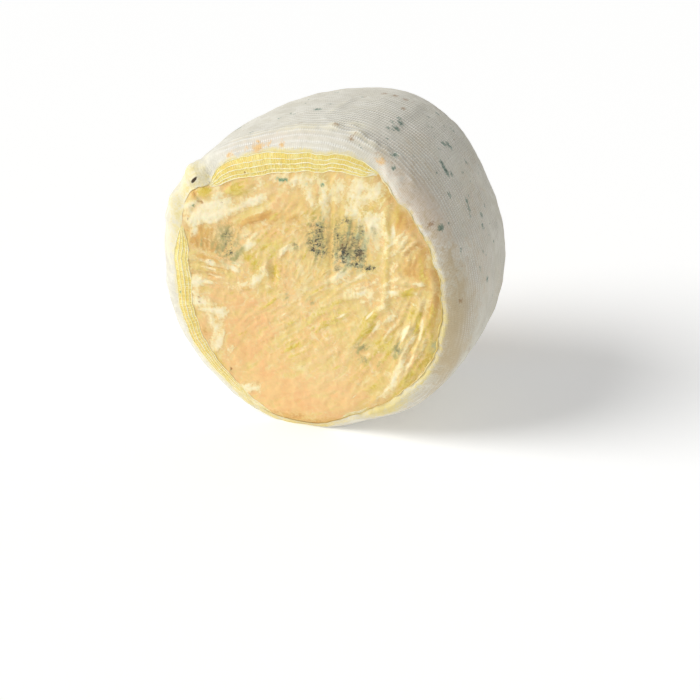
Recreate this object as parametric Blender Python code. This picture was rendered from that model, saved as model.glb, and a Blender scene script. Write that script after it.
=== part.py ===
"""Small drum of creamy sheep cheese, standing on its side, with a gauze band wrapped round it.

Two solids: cheese_wheel, the cheese with its rind, and cloth_band, the gauze with its knot of cloth and
the hems that lap over both faces. The wheel's axis is level along Y and its shown face looks towards -Y.
The origin is on the resting surface, below the middle of the whole.
"""

import math

import bmesh
import bpy

# Driving dimensions, in metres. Radii are taken over the cloth.
FRONT_RADIUS = 0.0575
MIDDLE_RADIUS = 0.0596
BACK_RADIUS = 0.0553
DEPTH = 0.0737  # from the front rind to the back rind
FRONT_ROUNDING = 0.0087
BACK_ROUNDING = 0.0108
CLOTH = 0.0010
HEM_CLOTH = 0.0008  # the open-weave edge of the gauze
GAP = 0.0003  # between the cloth and the rind
AXIS_HEIGHT = 0.0556  # less than the radius, as the soft side is flattened where it rests
AXIS_X = -0.0004  # this and FRONT_Y centre the whole on the origin
FRONT_Y = -0.0365
FLATTENING = 0.0008  # height over which the side eases into its flat

# How finely the surfaces are divided
SEGMENTS = 90
FRONT_RINGS = 15
BACK_RINGS = 9
ROUNDING_STEPS = 4
SIDE_STEPS = 6
LAP_STEPS = 6
RING_CROWDING = 0.8  # below 1, the front face's rings lie closer together towards its rim

COVER = CLOTH + GAP
FLAT_RADIUS = FRONT_RADIUS - COVER - FRONT_ROUNDING  # of the face inside its rounded edge
FRONT_ARC = FRONT_ROUNDING * math.pi / 2
BACK_ARC = BACK_ROUNDING * math.pi / 2
SIDE = DEPTH - FRONT_ROUNDING - BACK_ROUNDING
BACK_FLAT_RADIUS = BACK_RADIUS - COVER - BACK_ROUNDING
BACK_EDGE = FRONT_ARC + SIDE + BACK_ARC  # where the back face begins, measured like every run below

# Soft corners and flats of the outline: angle, spread in degrees, push outwards at the front and at the back
OUTLINE = [
    (69, 12, 0.0021, 0.0024),
    (18, 18, -0.0006, -0.0016),
    (-22, 14, 0.0014, 0.0008),
    (-66, 11, -0.0026, -0.0024),
    (108, 12, -0.0017, -0.0012),
    (154, 10, 0.0012, 0.0002),
    (183, 12, -0.0012, -0.0006),
    (-134, 10, -0.0010, -0.0004),
    (-106, 11, 0.0006, 0.0000),
]

# Laps of the cloth over a face: angles where it starts, is full, stops being full and ends, and its reach
FRONT_LAPS = [
    (56, 72, 117, 137, 0.0080),
    (157, 171, 190, 228, 0.0088),
    (300, 328, 345, 356, 0.0033),
    (234, 250, 284, 300, -0.0026),
]
BACK_LAPS = [
    (20, 40, 100, 124, 0.0060),
    (150, 170, 215, 240, 0.0075),
    (262, 280, 330, 352, 0.0045),
]
FRONT_LAP_BASE = 0.0048  # run of the cloth's edge on the rounding where it doesn't lap
BACK_LAP_BASE = 0.0045

# Ridges and furrows in the rind: two ends (x, z) from the face's centre, half width and height
FRONT_STROKES = [
    ((0.0114, 0.0370), (0.0114, 0.0040), 0.0023, -0.0008),
    ((0.0320, 0.0380), (0.0320, 0.0000), 0.0024, 0.0013),
    ((0.0320, 0.0000), (0.0200, -0.0140), 0.0024, 0.0010),
    ((0.0265, 0.0310), (0.0265, 0.0030), 0.0024, -0.0008),
    ((0.0365, 0.0260), (0.0460, 0.0150), 0.0023, 0.0010),
    ((0.0350, 0.0120), (0.0445, 0.0030), 0.0023, 0.0009),
    ((0.0405, -0.0030), (0.0340, -0.0250), 0.0024, 0.0011),
    ((0.0465, -0.0070), (0.0400, -0.0260), 0.0023, 0.0012),
    ((0.0350, -0.0040), (0.0270, -0.0190), 0.0024, -0.0008),
    ((-0.0400, 0.0100), (-0.0250, 0.0040), 0.0023, -0.0007),
    ((-0.0410, 0.0010), (-0.0260, -0.0020), 0.0023, -0.0007),
    ((-0.0380, 0.0290), (-0.0190, 0.0360), 0.0024, 0.0008),
]
BACK_STROKES = [
    ((-0.0200, 0.0300), (-0.0080, -0.0060), 0.0024, -0.0007),
    ((0.0180, 0.0260), (0.0260, -0.0100), 0.0024, 0.0009),
    ((-0.0300, -0.0040), (-0.0120, -0.0300), 0.0026, 0.0008),
    ((0.0040, -0.0200), (0.0260, -0.0280), 0.0024, -0.0006),
    ((-0.0040, 0.0160), (0.0120, 0.0340), 0.0022, 0.0006),
]

# Dents and humps of the faces: centre (x, z), spread and height
FRONT_DENTS = [
    (-0.0112, 0.0069, 0.0026, -0.0022),
    (-0.0160, 0.0100, 0.0060, 0.0008),
    (-0.0300, 0.0180, 0.0090, -0.0008),
    (0.0060, -0.0330, 0.0150, 0.0008),
    (0.0180, 0.0220, 0.0080, -0.0005),
    (0.0420, 0.0180, 0.0060, 0.0006),
    (-0.0240, -0.0240, 0.0120, -0.0005),
]
BACK_DENTS = [
    (0.0060, 0.0040, 0.0110, -0.0010),
    (-0.0220, 0.0140, 0.0100, 0.0008),
    (0.0240, -0.0200, 0.0120, 0.0009),
    (-0.0100, -0.0320, 0.0100, -0.0006),
]

# Broad creases that the cloth pulls into the side: angle, spread, depth
SIDE_CREASES = [
    (28, 4, -0.0005),
    (47, 5, 0.0005),
    (82, 6, -0.0004),
    (116, 5, 0.0004),
    (205, 6, -0.0005),
    (322, 5, 0.0004),
]

KNOB_ANGLE = 137
KNOB_RUN = 0.0030
KNOB_SPREAD = 0.0042
KNOB_HEIGHT = 0.0026
SEAM_ANGLE = 52  # where the band's end laps over its start
SEAM_SPREAD = 7
SEAM_EXTRA = 0.0005


def bell(distance, spread):
    """1 in the middle, falling smoothly to nothing."""
    return math.exp(-0.5 * (distance / spread) ** 2)


def turned(angle, centre):
    """Angle from a centre, in degrees from -180 to 180."""
    return (angle - centre + 180) % 360 - 180


def eased(value):
    """Smooth rise from 0 to 1."""
    value = min(max(value, 0), 1)
    return value * value * (3 - 2 * value)


def plateau(angle, start, full, fading, end):
    """0 outside start to end, 1 from full to fading, and eased between."""
    angle %= 360
    return eased((angle - start) / (full - start)) * eased((end - angle) / (end - fading))


def barrel(along):
    """Radius of the rind before its edges are rounded, at a distance behind the front face."""
    share = along / DEPTH
    front = FRONT_RADIUS * (1 - share) * (1 - 2 * share)
    middle = MIDDLE_RADIUS * 4 * share * (1 - share)
    back = BACK_RADIUS * share * (2 * share - 1)
    return front + middle + back - COVER


def section(run):
    """Radius, distance behind the front face and outward direction, at a run along the rind.

    A run is 0 where the front face meets its rounded edge, negative on that face, and grows over the edge,
    along the side and onto the back face.
    """
    if run <= 0:
        return FLAT_RADIUS + run, 0, 0, -1
    if run < FRONT_ARC:
        turn = run / FRONT_ROUNDING
        along = FRONT_ROUNDING * (1 - math.cos(turn))
        return barrel(along) - FRONT_ROUNDING * (1 - math.sin(turn)), along, math.sin(turn), -math.cos(turn)
    if run < FRONT_ARC + SIDE:
        along = FRONT_ROUNDING + run - FRONT_ARC
        return barrel(along), along, 1, 0
    if run < BACK_EDGE:
        turn = (run - FRONT_ARC - SIDE) / BACK_ROUNDING
        along = DEPTH - BACK_ROUNDING * (1 - math.sin(turn))
        return barrel(along) - BACK_ROUNDING * (1 - math.cos(turn)), along, math.cos(turn), math.sin(turn)
    return BACK_FLAT_RADIUS - (run - BACK_EDGE), DEPTH, 0, 1


def outline_push(angle, along):
    """How far the outline stands out at an angle, from its soft corners and the cloth's creases."""
    back = along / DEPTH
    push = sum(
        bell(turned(angle, at), spread) * (at_front * (1 - back) + at_back * back)
        for at, spread, at_front, at_back in OUTLINE
    )
    middle = 4 * back * (1 - back)
    return push + middle * sum(bell(turned(angle, at), spread) * depth for at, spread, depth in SIDE_CREASES)


def stroke_height(x, z, start, end, width, height):
    """Height of one ridge or furrow, from the distance to its line."""
    run_x = end[0] - start[0]
    run_z = end[1] - start[1]
    share = ((x - start[0]) * run_x + (z - start[1]) * run_z) / (run_x**2 + run_z**2)
    share = min(max(share, 0), 1)
    return height * bell(math.hypot(x - start[0] - share * run_x, z - start[1] - share * run_z), width)


def relief(x, z, strokes, dents):
    """How far a face stands out at a place on it."""
    height = sum(stroke_height(x, z, *stroke) for stroke in strokes)
    height += sum(depth * bell(math.hypot(x - at_x, z - at_z), spread) for at_x, at_z, spread, depth in dents)
    return height * eased((FRONT_RADIUS - math.hypot(x, z)) / FRONT_ROUNDING)


def flattened(height, level):
    """Height above the resting surface, eased onto a level below which nothing reaches."""
    above = height - level
    if above <= -FLATTENING:
        return level
    if above >= FLATTENING:
        return height
    return level + (above + FLATTENING) ** 2 / (4 * FLATTENING)


def place(angle, run, off):
    """Place on the cheese, in the part's frame, at a distance off the rind."""
    radius, along, outward, back = section(run)
    turn = math.radians(angle)
    grown = radius + outline_push(angle, along) * min(radius / FLAT_RADIUS, 1) ** 2 + outward * off
    x = grown * math.cos(turn)
    z = grown * math.sin(turn)
    y = along + back * off
    if along < DEPTH / 2:
        y -= relief(x, z, FRONT_STROKES, FRONT_DENTS) * max(-back, 0)
    else:
        y += relief(x, z, BACK_STROKES, BACK_DENTS) * max(back, 0)
    return AXIS_X + x, FRONT_Y + y, flattened(AXIS_HEIGHT + z, COVER - off)


def front_edge(angle):
    """Run where the cloth ends on the front."""
    return FRONT_LAP_BASE - sum(plateau(angle, *lap[:4]) * lap[4] for lap in FRONT_LAPS)


def back_edge(angle):
    """Run where the cloth ends on the back."""
    return BACK_EDGE - BACK_LAP_BASE + sum(plateau(angle, *lap[:4]) * lap[4] for lap in BACK_LAPS)


def cloth_thickness(angle, run):
    """Thickness of the band: thinner at its hems, thicker at its seam and its knob."""
    inside = min(run - front_edge(angle), back_edge(angle) - run)
    thickness = HEM_CLOTH + (CLOTH - HEM_CLOTH) * eased(inside / FRONT_LAP_BASE)
    thickness += SEAM_EXTRA * bell(turned(angle, SEAM_ANGLE), SEAM_SPREAD) * eased(inside / FRONT_LAP_BASE)
    across = math.radians(turned(angle, KNOB_ANGLE)) * FRONT_RADIUS
    return thickness + KNOB_HEIGHT * bell(math.hypot(across, run - KNOB_RUN), KNOB_SPREAD)


def band_run(angle, share):
    """Run at a share of the band's width: 0 to 1 is the front lap, 1 to 2 the side and 2 to 3 the back lap."""
    ends = [front_edge(angle), FRONT_ARC, FRONT_ARC + SIDE, back_edge(angle)]
    stretch = min(int(share), 2)
    return ends[stretch] + (share - stretch) * (ends[stretch + 1] - ends[stretch])


def spun(points, closed):
    """Mesh of a section, given as (radius, height along the axis), turned once round the Y axis."""
    mesh = bmesh.new()
    corners = [mesh.verts.new((radius, along, 0)) for radius, along in points]
    pairs = list(zip(corners, corners[1:] + corners[:1]))
    edges = [mesh.edges.new(pair) for pair in (pairs if closed else pairs[:-1])]
    bmesh.ops.spin(
        mesh,
        geom=corners + edges,
        cent=(0, 0, 0),
        axis=(0, 1, 0),
        angle=math.tau,
        steps=SEGMENTS,
        use_merge=True,
    )
    bmesh.ops.remove_doubles(mesh, verts=mesh.verts, dist=1e-7)
    return mesh


def angle_of(corner):
    """Angle of a corner of a spun mesh, in degrees, to the exact step it was spun to."""
    step = 360 / SEGMENTS
    return round(math.degrees(math.atan2(corner.co.z, corner.co.x)) / step) * step


def finished(mesh, name, colour, roughness):
    """Object of a mesh, with faces pointing out, smooth shading and a plain material."""
    bmesh.ops.triangulate(mesh, faces=mesh.faces, quad_method="SHORT_EDGE")
    bmesh.ops.recalc_face_normals(mesh, faces=mesh.faces)
    data = bpy.data.meshes.new(name)
    mesh.to_mesh(data)
    mesh.free()
    data.shade_smooth()
    data.set_sharp_from_angle(angle=math.radians(50))
    material = bpy.data.materials.new(name)
    material.use_nodes = True
    surface = material.node_tree.nodes["Principled BSDF"]
    surface.inputs["Base Color"].default_value = (*colour, 1)
    surface.inputs["Roughness"].default_value = roughness
    surface.inputs["Metallic"].default_value = 0
    data.materials.append(material)
    thing = bpy.data.objects.new(name, data)
    bpy.context.scene.collection.objects.link(thing)
    return thing


def even(start, end, steps):
    """Steps + 1 values from start to end."""
    return [start + (end - start) * step / steps for step in range(steps + 1)]


def cheese_wheel():
    """The cheese: a barrel with rounded edges, spun from its runs and then pushed into its uneven form."""
    runs = [FLAT_RADIUS * (share**RING_CROWDING - 1) for share in even(0, 1, FRONT_RINGS)]
    runs += even(0, FRONT_ARC, ROUNDING_STEPS)[1:]
    runs += even(FRONT_ARC, FRONT_ARC + SIDE, SIDE_STEPS)[1:]
    runs += even(FRONT_ARC + SIDE, BACK_EDGE, ROUNDING_STEPS)[1:]
    runs += even(BACK_EDGE, BACK_EDGE + BACK_FLAT_RADIUS, BACK_RINGS)[1:]
    lift = 1 / len(runs)  # each ring starts at its own height, so that its run can be read back from it
    points = [(section(run)[0], number * lift) for number, run in enumerate(runs)]
    mesh = spun(points, closed=False)
    for corner in mesh.verts:
        corner.co = place(angle_of(corner), runs[round(corner.co.y / lift)], 0)
    return finished(mesh, "cheese_wheel", (0.84, 0.55, 0.23), 0.55)


def cloth_band():
    """The gauze: a plain ring whose corners are laid on the cheese, from the front lap over to the back one."""
    inner, outer = 1, 2
    shares = even(0, 1, LAP_STEPS) + even(1, 2, SIDE_STEPS)[1:] + even(2, 3, LAP_STEPS)[1:]
    mesh = spun([(outer, share) for share in shares] + [(inner, share) for share in shares[::-1]], closed=True)
    for corner in mesh.verts:
        angle = angle_of(corner)
        run = band_run(angle, corner.co.y)
        is_outer = math.hypot(corner.co.x, corner.co.z) > (inner + outer) / 2
        corner.co = place(angle, run, GAP + (cloth_thickness(angle, run) if is_outer else 0))
    return finished(mesh, "cloth_band", (0.70, 0.67, 0.58), 0.9)


def main():
    for thing in list(bpy.data.objects):
        bpy.data.objects.remove(thing)
    cheese_wheel()
    cloth_band()


main()
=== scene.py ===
import math
import random

import bmesh
import bpy
import numpy as np
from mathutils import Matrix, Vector, noise


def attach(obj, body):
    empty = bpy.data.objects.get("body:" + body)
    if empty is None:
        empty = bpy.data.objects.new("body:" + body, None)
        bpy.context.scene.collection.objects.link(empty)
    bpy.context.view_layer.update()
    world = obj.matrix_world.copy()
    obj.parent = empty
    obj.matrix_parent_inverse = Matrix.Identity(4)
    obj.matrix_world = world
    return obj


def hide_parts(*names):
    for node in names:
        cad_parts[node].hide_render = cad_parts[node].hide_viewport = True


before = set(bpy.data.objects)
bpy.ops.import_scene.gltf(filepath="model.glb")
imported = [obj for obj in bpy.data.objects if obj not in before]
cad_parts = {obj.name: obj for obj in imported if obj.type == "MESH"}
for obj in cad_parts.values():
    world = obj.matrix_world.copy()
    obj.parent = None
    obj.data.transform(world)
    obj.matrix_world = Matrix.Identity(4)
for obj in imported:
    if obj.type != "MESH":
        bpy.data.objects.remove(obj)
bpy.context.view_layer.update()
random.seed(7)

# All sizes below are in millimetres and degrees, and become metres only when a mesh is made.
# Places on a face are (x, z) from its centre. A run is the way along the cheese's surface: 0 where the front
# face meets its rounded edge, negative on that face, and growing over the edge, the side and the back.
mm = 0.001

wheel = {
    "frontRadius": 57.5,
    "middleRadius": 59.6,
    "backRadius": 55.3,
    "depth": 73.7,
    "frontRounding": 8.7,
    "backRounding": 10.8,
    "axis": (-0.4, -36.5, 55.6),  # x of the axis, y of the front face and height of the axis
    "flattening": 0.8,  # how far above the flat patch the drum starts to turn flat
    "segments": 440,
    "rings": (120, 24, 4, 12, 56),  # front face, front edge, side, back edge, back face
    # bulges and hollows: angle, spread, push outwards at the front and at the back
    "outline": [
        (69, 12, 2.1, 2.4), (18, 18, -0.6, -1.6), (-22, 14, 1.4, 0.8), (-66, 11, -2.6, -2.4),
        (108, 12, -1.7, -1.2), (154, 10, 1.2, 0.2), (183, 12, -1.2, -0.6), (-134, 10, -0.3, -0.2),
        (-106, 11, 0.6, 0),
    ],
    # angle, spread, push outwards halfway back
    "creases": [(28, 4, -0.5), (47, 5, 0.5), (82, 6, -0.4), (116, 5, 0.4), (205, 6, -0.5), (322, 5, 0.4)],
}

cloth = {
    "thickness": 1.0,
    "edgeThickness": 0.8,
    "gap": 0.3,
    "inside": 0.1,  # between the rind and the cloth's inner side
    "segments": 440,
    "rows": 205,
    "insideRows": 6,
    "ribPitch": 1.85,
    "ribHeight": 0.1,
    # angle, how far the woven edge stays from the flat of the face, width of its open hem
    "frontEdge": [
        (0, 4, 0), (10, 4.9, 0), (30, 4.8, 0), (40, 4.9, 0), (46, 4, 0), (52, 4.8, 0), (58, 5, 0),
        (60, 5.3, 1), (62, 5.6, 4.4), (66, 5.4, 5.6), (70, 5, 6), (82, 3.2, 6.4), (90, 3.2, 6.6),
        (101, 4.5, 7.4), (108, 5.5, 8), (116, 5.6, 7.5), (124, 5.4, 6.6), (129, 4.9, 5.8), (131, 3.8, 4.6),
        (133.5, 1.2, 1.6), (135.5, 0.9, 0), (138.5, 3.2, 0), (142, 5, 0), (146, 4.4, 0), (150, 3.8, 0),
        (154, 3, 0), (158, 1.8, 0), (161, 1.6, 2), (167, 3.2, 5.6), (176, 4.2, 6.6), (186, 4.2, 6.6),
        (200, 4.8, 6.4), (215, 5.4, 6), (230, 5.4, 4.6), (246, 5.8, 2.8), (256, 6.8, 0.8), (270, 7.4, 0),
        (284, 7, 0.8), (292, 6, 1.6), (308, 3.8, 0.6), (325, 2.4, 0), (336, 3.2, 0), (345, 3.9, 0),
        (351, 3.8, 0),
    ],
    "backEdge": [
        (20, 4.5, 0), (38, 3, 3.8), (98, 2.6, 4.4), (122, 4.5, 0), (150, 4.6, 0), (170, 2.4, 5),
        (212, 2.2, 5.2), (240, 4.6, 0), (262, 4.8, 0), (280, 3.2, 3), (330, 3.2, 3.2), (352, 4.4, 0),
    ],
    "knob": (137.2, 6.8, 6.2, 3.8),  # angle, run, half width, height
    # small crumples: angle, run, half width, height
    "lumps": [
        (152, 7.5, 4.6, 1.8), (159.5, 8, 3.4, 1), (146.5, 9, 2.8, -0.7), (156, 3.4, 2.4, 0.6),
        (129, 7, 3.4, 0.6), (143, 12, 4, 0.6), (81, 14, 2.5, 1), (76, 17.5, 1.8, 0.7), (72, 12.6, 2.6, 1),
        (66, 12, 1.7, 0.7), (62, 13.6, 1.7, 0.6), (57.5, 14.6, 1.5, 0.6), (86, 19, 2.2, 0.5),
        (52, 7.6, 1.6, 0.5), (92, 11, 2.6, 0.4), (48, 10.5, 2.2, 0.5), (170, 16, 4, 0.7), (188, 12, 4, 0.6),
        (215, 22, 4, 0.6), (320, 30, 4, 0.6), (345, 20, 3, 0.5),
    ],
    # creases that run front to back: angle, half width in degrees, run where they start and end, height
    "folds": [
        (86.5, 1.3, 22, 48, 0.4), (84.4, 1.6, 20, 60, -0.2), (66, 1.8, 24, 62, 0.25),
        (63.4, 1.6, 24, 66, -0.25), (50, 2, 14, 40, 0.25), (108, 2.4, 20, 70, 0.3),
        (128, 2.4, 16, 60, 0.35), (36, 2, 30, 70, 0.25), (12, 2.4, 20, 70, 0.25), (150, 3, 20, 75, 0.4),
        (178, 2.6, 16, 60, 0.35), (206, 2.6, 26, 78, 0.35), (338, 2.6, 18, 70, 0.35),
        (312, 2.6, 24, 76, 0.35),
    ],
    "fleckLean": 2.2,  # mm towards the front for each mm that the outline bulges
    "fleckSize": 1.2,
    "slit": {"angle": 137.6, "run": 5.1, "halfLength": 2.0, "halfWidth": 0.52, "tilt": 47, "depth": 1.0},
    "slitOff": 2.5,  # from the rind to the slit's middle
    "slitReach": 12,  # how far forwards and back the slit's painted shade goes
    "seam": (52, 7, 0.5),  # angle, spread, extra thickness
    "threadsRound": 430,  # how many cross the ribs in a whole turn
    "weftPitch": 0.46,
}

flatRadius = wheel["frontRadius"] - cloth["thickness"] - cloth["gap"] - wheel["frontRounding"]
backFlatRadius = wheel["backRadius"] - cloth["thickness"] - cloth["gap"] - wheel["backRounding"]
frontArc = wheel["frontRounding"] * math.pi / 2
backArc = wheel["backRounding"] * math.pi / 2
sideLength = wheel["depth"] - wheel["frontRounding"] - wheel["backRounding"]
backFaceRun = frontArc + sideLength + backArc
middleRun = frontArc + sideLength / 2


def bell(distance, spread):
    return np.exp(-0.5 * (distance / spread) ** 2)


# degrees from centre to angle, the short way round
def turned(angle, centre):
    return (angle - centre + 180) % 360 - 180


def eased(value):
    value = np.clip(value, 0, 1)
    return value * value * (3 - 2 * value)


# 1 between full and fading, easing off to 0 at start and end
def plateau(value, start, full, fading, end):
    return eased((value - start) / (full - start)) * eased((end - value) / (end - fading))


# x and z on a ring, where the noise that runs round the drum is read
def onRing(angle, radius=58):
    return radius * np.cos(np.radians(angle)), radius * np.sin(np.radians(angle))


# radius of the rind's side at a distance behind the front face
def barrel(along):
    share = along / wheel["depth"]
    front = wheel["frontRadius"] * (1 - share) * (1 - 2 * share)
    middle = wheel["middleRadius"] * 4 * share * (1 - share)
    back = wheel["backRadius"] * share * (2 * share - 1)
    return front + middle + back - cloth["thickness"] - cloth["gap"]


# radius, distance behind the front face and outward direction, at a run
def section(run):
    frontTurn = np.clip(run / wheel["frontRounding"], 0, math.pi / 2)
    backTurn = np.clip((run - frontArc - sideLength) / wheel["backRounding"], 0, math.pi / 2)
    along = wheel["frontRounding"] * (1 - np.cos(frontTurn)) + np.clip(run - frontArc, 0, sideLength)
    along = along + wheel["backRounding"] * np.sin(backTurn)
    radius = barrel(along) + np.minimum(run, 0) - np.maximum(run - backFaceRun, 0)
    radius = radius - wheel["frontRounding"] * (1 - np.sin(frontTurn))
    radius = radius - wheel["backRounding"] * (1 - np.cos(backTurn))
    return radius, along, np.sin(frontTurn) * np.cos(backTurn), np.sin(backTurn) - np.cos(frontTurn)


def outlinePush(angle, along):
    back = along / wheel["depth"]
    push = 0
    for at, spread, atFront, atBack in wheel["outline"]:
        push = push + bell(turned(angle, at), spread) * (atFront * (1 - back) + atBack * back)
    for at, spread, depth in wheel["creases"]:
        push = push + 4 * back * (1 - back) * bell(turned(angle, at), spread) * depth
    return push


def pushed(angle, radius, along):
    return radius + outlinePush(angle, along) * np.minimum(radius / flatRadius, 1) ** 2


# height held above level, easing into it
def flattened(height, level):
    width = wheel["flattening"]
    above = height - level
    blended = level + (above + width) ** 2 / (4 * width)
    return np.where(above <= -width, level, np.where(above >= width, height, blended))


# x, y and z on the cheese at a distance off the rind; relief only raises what faces forwards or backwards
def place(angle, run, off, relief=0):
    radius, along, outward, back = section(run)
    grown = pushed(angle, radius, along) + outward * off
    turn = np.radians(angle)
    level = np.maximum(cloth["thickness"] + cloth["gap"] - off, 0)
    across = wheel["axis"][0] + grown * np.cos(turn)
    height = flattened(wheel["axis"][2] + grown * np.sin(turn), level)
    return np.stack([across, wheel["axis"][1] + along + back * (off + relief), height], axis=-1)


# x and z from the centre of the face
def onFace(angle, run):
    radius, along = section(run)[:2]
    grown = pushed(angle, radius, along)
    return grown * np.cos(np.radians(angle)), grown * np.sin(np.radians(angle))


# noise at places, from about -1 to 1; size is the width of its blotches
def grain(x, y, z, size, seed, octaves=1):
    points = np.stack(np.broadcast_arrays(x, y, z), axis=-1).reshape(-1, 3) / size + seed * 17.3
    if octaves == 1:
        values = [noise.noise(point) for point in points.tolist()]
    else:
        values = [noise.fractal(point, 0.6, 2.0, octaves) for point in points.tolist()]
    return np.array(values).reshape(np.broadcast_shapes(np.shape(x), np.shape(y), np.shape(z)))


# relief of the rind

rind = {
    "swayed": ("peach", "amber", "cream", "grey"),  # tints with more ragged outlines
    "pit": [  # centre, half widths, tilt, strength
        (-11.3, 4.6, 1.5, 3.6, -8, 1),
    ],
    # fine strokes of some tints: how many, their greatest strength and how far out they go
    "scratches": {"cream": 45, "amber": 45, "straw": 30},
    "scratchStrength": 0.55,
    "scratchReach": 47,
    # ridges and furrows: two ends, half width, height
    "strokes": [
        ((11.4, 37), (11.2, 4), 0.7, -0.45), ((32, 38), (32.3, 18), 0.8, 0.4),
        ((32.3, 18), (31.8, 0), 0.9, 0.4), ((31.8, 0), (25, -9), 1, 0.5), ((25, -9), (19, -18), 1.2, 0.4),
        ((34.3, 36), (34, 2), 0.8, -0.2), ((30, 34), (29.8, 3), 1.1, -0.12),
        ((33.5, 19), (38, 27), 0.5, 0.35), ((34, 18.5), (41, 27), 0.5, 0.35),
        ((34.5, 17), (43, 25), 0.6, 0.4), ((34.5, 14), (39.5, 9), 0.7, 0.4),
        ((35.5, 8), (46, 9.5), 0.7, 0.4), ((34.5, 3.5), (45.5, 6.5), 0.8, 0.35),
        ((33, -1), (31, -9), 0.8, 0.4), ((44.5, 3), (41, -8), 1, 0.5), ((41, -8), (37.5, -27), 0.8, 0.6),
        ((39.5, -11), (35, -28), 0.6, 0.4), ((47, -4), (43.5, -16), 0.9, 0.6),
        ((43.5, -16), (39, -28), 0.9, 0.5), ((40, -5), (33, -15), 0.8, -0.35),
        ((45, -8), (40.5, -22), 0.7, -0.4), ((49, 10), (48.5, -10), 1.1, 0.5),
        ((46.5, 24), (49.5, 8), 0.8, 0.4), ((-44, 7.5), (-29, 4), 0.7, 0.4),
        ((-44, 5), (-30, 3.4), 0.5, -0.4), ((-43, 2), (-31, 2.6), 0.6, 0.3),
        ((-43, -0.8), (-33, 0.6), 0.5, -0.4), ((-38, 29.5), (-20, 36), 1.1, 0.5),
        ((-42, 24), (-38, 29), 0.9, -0.5), ((-12, 33), (-22, 29), 1.4, -0.3),
    ],
    # dents and humps: centre, half widths, tilt, height
    "dents": [
        (-11, 5.2, 1.1, 2.7, -8, -1.3), (-13.4, 6.5, 1.3, 2.8, 0, 0.5), (-9, 6, 1.4, 2.8, 0, 0.3),
        (-16, 10, 6, 6, 0, 0.4), (-30, 17, 8, 9, 0, -0.4), (6, -33, 15, 15, 0, 0.6),
        (18, 22, 8, 8, 0, -0.4), (41, 18, 5, 8, 0, 0.4), (-24, -24, 12, 12, 0, -0.4),
        (36, 5, 4, 3, 20, 0.3), (47.5, -17, 2.5, 6, -15, -0.5),
    ],
    # fans of pleats: centre, half widths, direction of the lines, pitch, height
    "pleats": [
        (15, 31, 16, 9, 80, 3.6, 0.07), (41, 21, 6, 9, 52, 1.9, 0.2), (42, -12, 6, 17, 66, 2.3, 0.24),
        (-38, 1, 7, 7, 4, 1.5, 0.24), (-38, 15, 7, 6, 84, 2.1, 0.05), (6, -12, 26, 18, 38, 4.2, 0.09),
        (-8, 14, 8, 12, 60, 3, 0.10), (20, -38, 14, 8, 62, 3.6, 0.07),
    ],
    # which way the smears run: x, z, direction
    "flow": [
        (10, 35, 88), (19, 38, 80), (27, 36, 52), (5, 20, 84), (18, 18, 88), (28, 16, 86), (32, 24, 90),
        (38, 22, 58), (43, 25, 55), (45, 14, 72), (40, 8, 14), (38, 1, -22), (48, 3, 86), (44, -8, 72),
        (36, -12, 56), (30, -8, 50), (43, -22, 62), (34, -30, 55), (22, -20, 48), (15, -30, 44),
        (0, -20, 38), (10, -5, 32), (20, 3, 20), (-10, -10, 34), (-20, -20, 42), (-10, -40, 28),
        (10, -44, 24), (25, -40, 42), (-30, -30, 62), (-41, -6, 4), (-38, 5, 0), (-30, 3, -12),
        (-38, 14, 80), (-28, 14, 68), (-20, 10, 52), (-11, 5, 82), (-12, 18, 34), (-20, 26, 18),
        (0, 25, 24), (-5, 34, 60), (-15, 34, 28), (-30, 30, 18), (-38, 24, 10), (-26, 38, 24), (4, 42, 78),
        (-38, -25, 78),
    ],
}
backRind = {
    "strokes": [
        ((-20, 30), (-8, -6), 1.3, -0.8), ((18, 26), (26, -10), 1.4, 1), ((20.5, 26), (28.5, -10), 1, -0.6),
        ((-30, -4), (-12, -30), 1.4, 0.9), ((4, -20), (26, -28), 1.3, -0.7), ((-4, 16), (12, 34), 1.2, 0.7),
        ((26, -10), (34, -22), 1.2, 0.8), ((-36, 12), (-24, 8), 0.8, -0.5), ((-36, 8), (-24, 6), 0.8, 0.5),
    ],
    "dents": [
        (6, 4, 11, 11, 0, -1), (-22, 14, 10, 10, 0, 0.8), (24, -20, 12, 12, 0, 0.9),
        (-10, -32, 10, 10, 0, -0.6), (10, 12, 1.6, 3.2, 12, -1.6),
    ],
    "pleats": [
        (-12, 26, 14, 9, 84, 2.6, 0.16), (30, 10, 8, 14, 60, 2.1, 0.26), (-32, -12, 7, 12, 110, 2.2, 0.24),
        (4, -14, 24, 16, 30, 4, 0.09),
    ],
    "flow": [
        (-20, 26, 74), (10, 30, 96), (34, 12, 60), (30, -20, 118), (0, -34, 20), (-34, -14, 100),
        (-6, 4, 36), (18, 0, 70),
    ],
}


# distance from the centre of an ellipse, 1 at its edge
def ellipse(x, z, centreX, centreZ, halfX, halfZ, tilt=0):
    turn = math.radians(tilt)
    along = (x - centreX) * math.cos(turn) + (z - centreZ) * math.sin(turn)
    across = (z - centreZ) * math.cos(turn) - (x - centreX) * math.sin(turn)
    return np.hypot(along / halfX, across / halfZ)


# distance from a straight line between two places
def awayFrom(x, z, start, end):
    runX = end[0] - start[0]
    runZ = end[1] - start[1]
    share = np.clip(((x - start[0]) * runX + (z - start[1]) * runZ) / (runX**2 + runZ**2), 0, 1)
    return np.hypot(x - start[0] - share * runX, z - start[1] - share * runZ)


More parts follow.
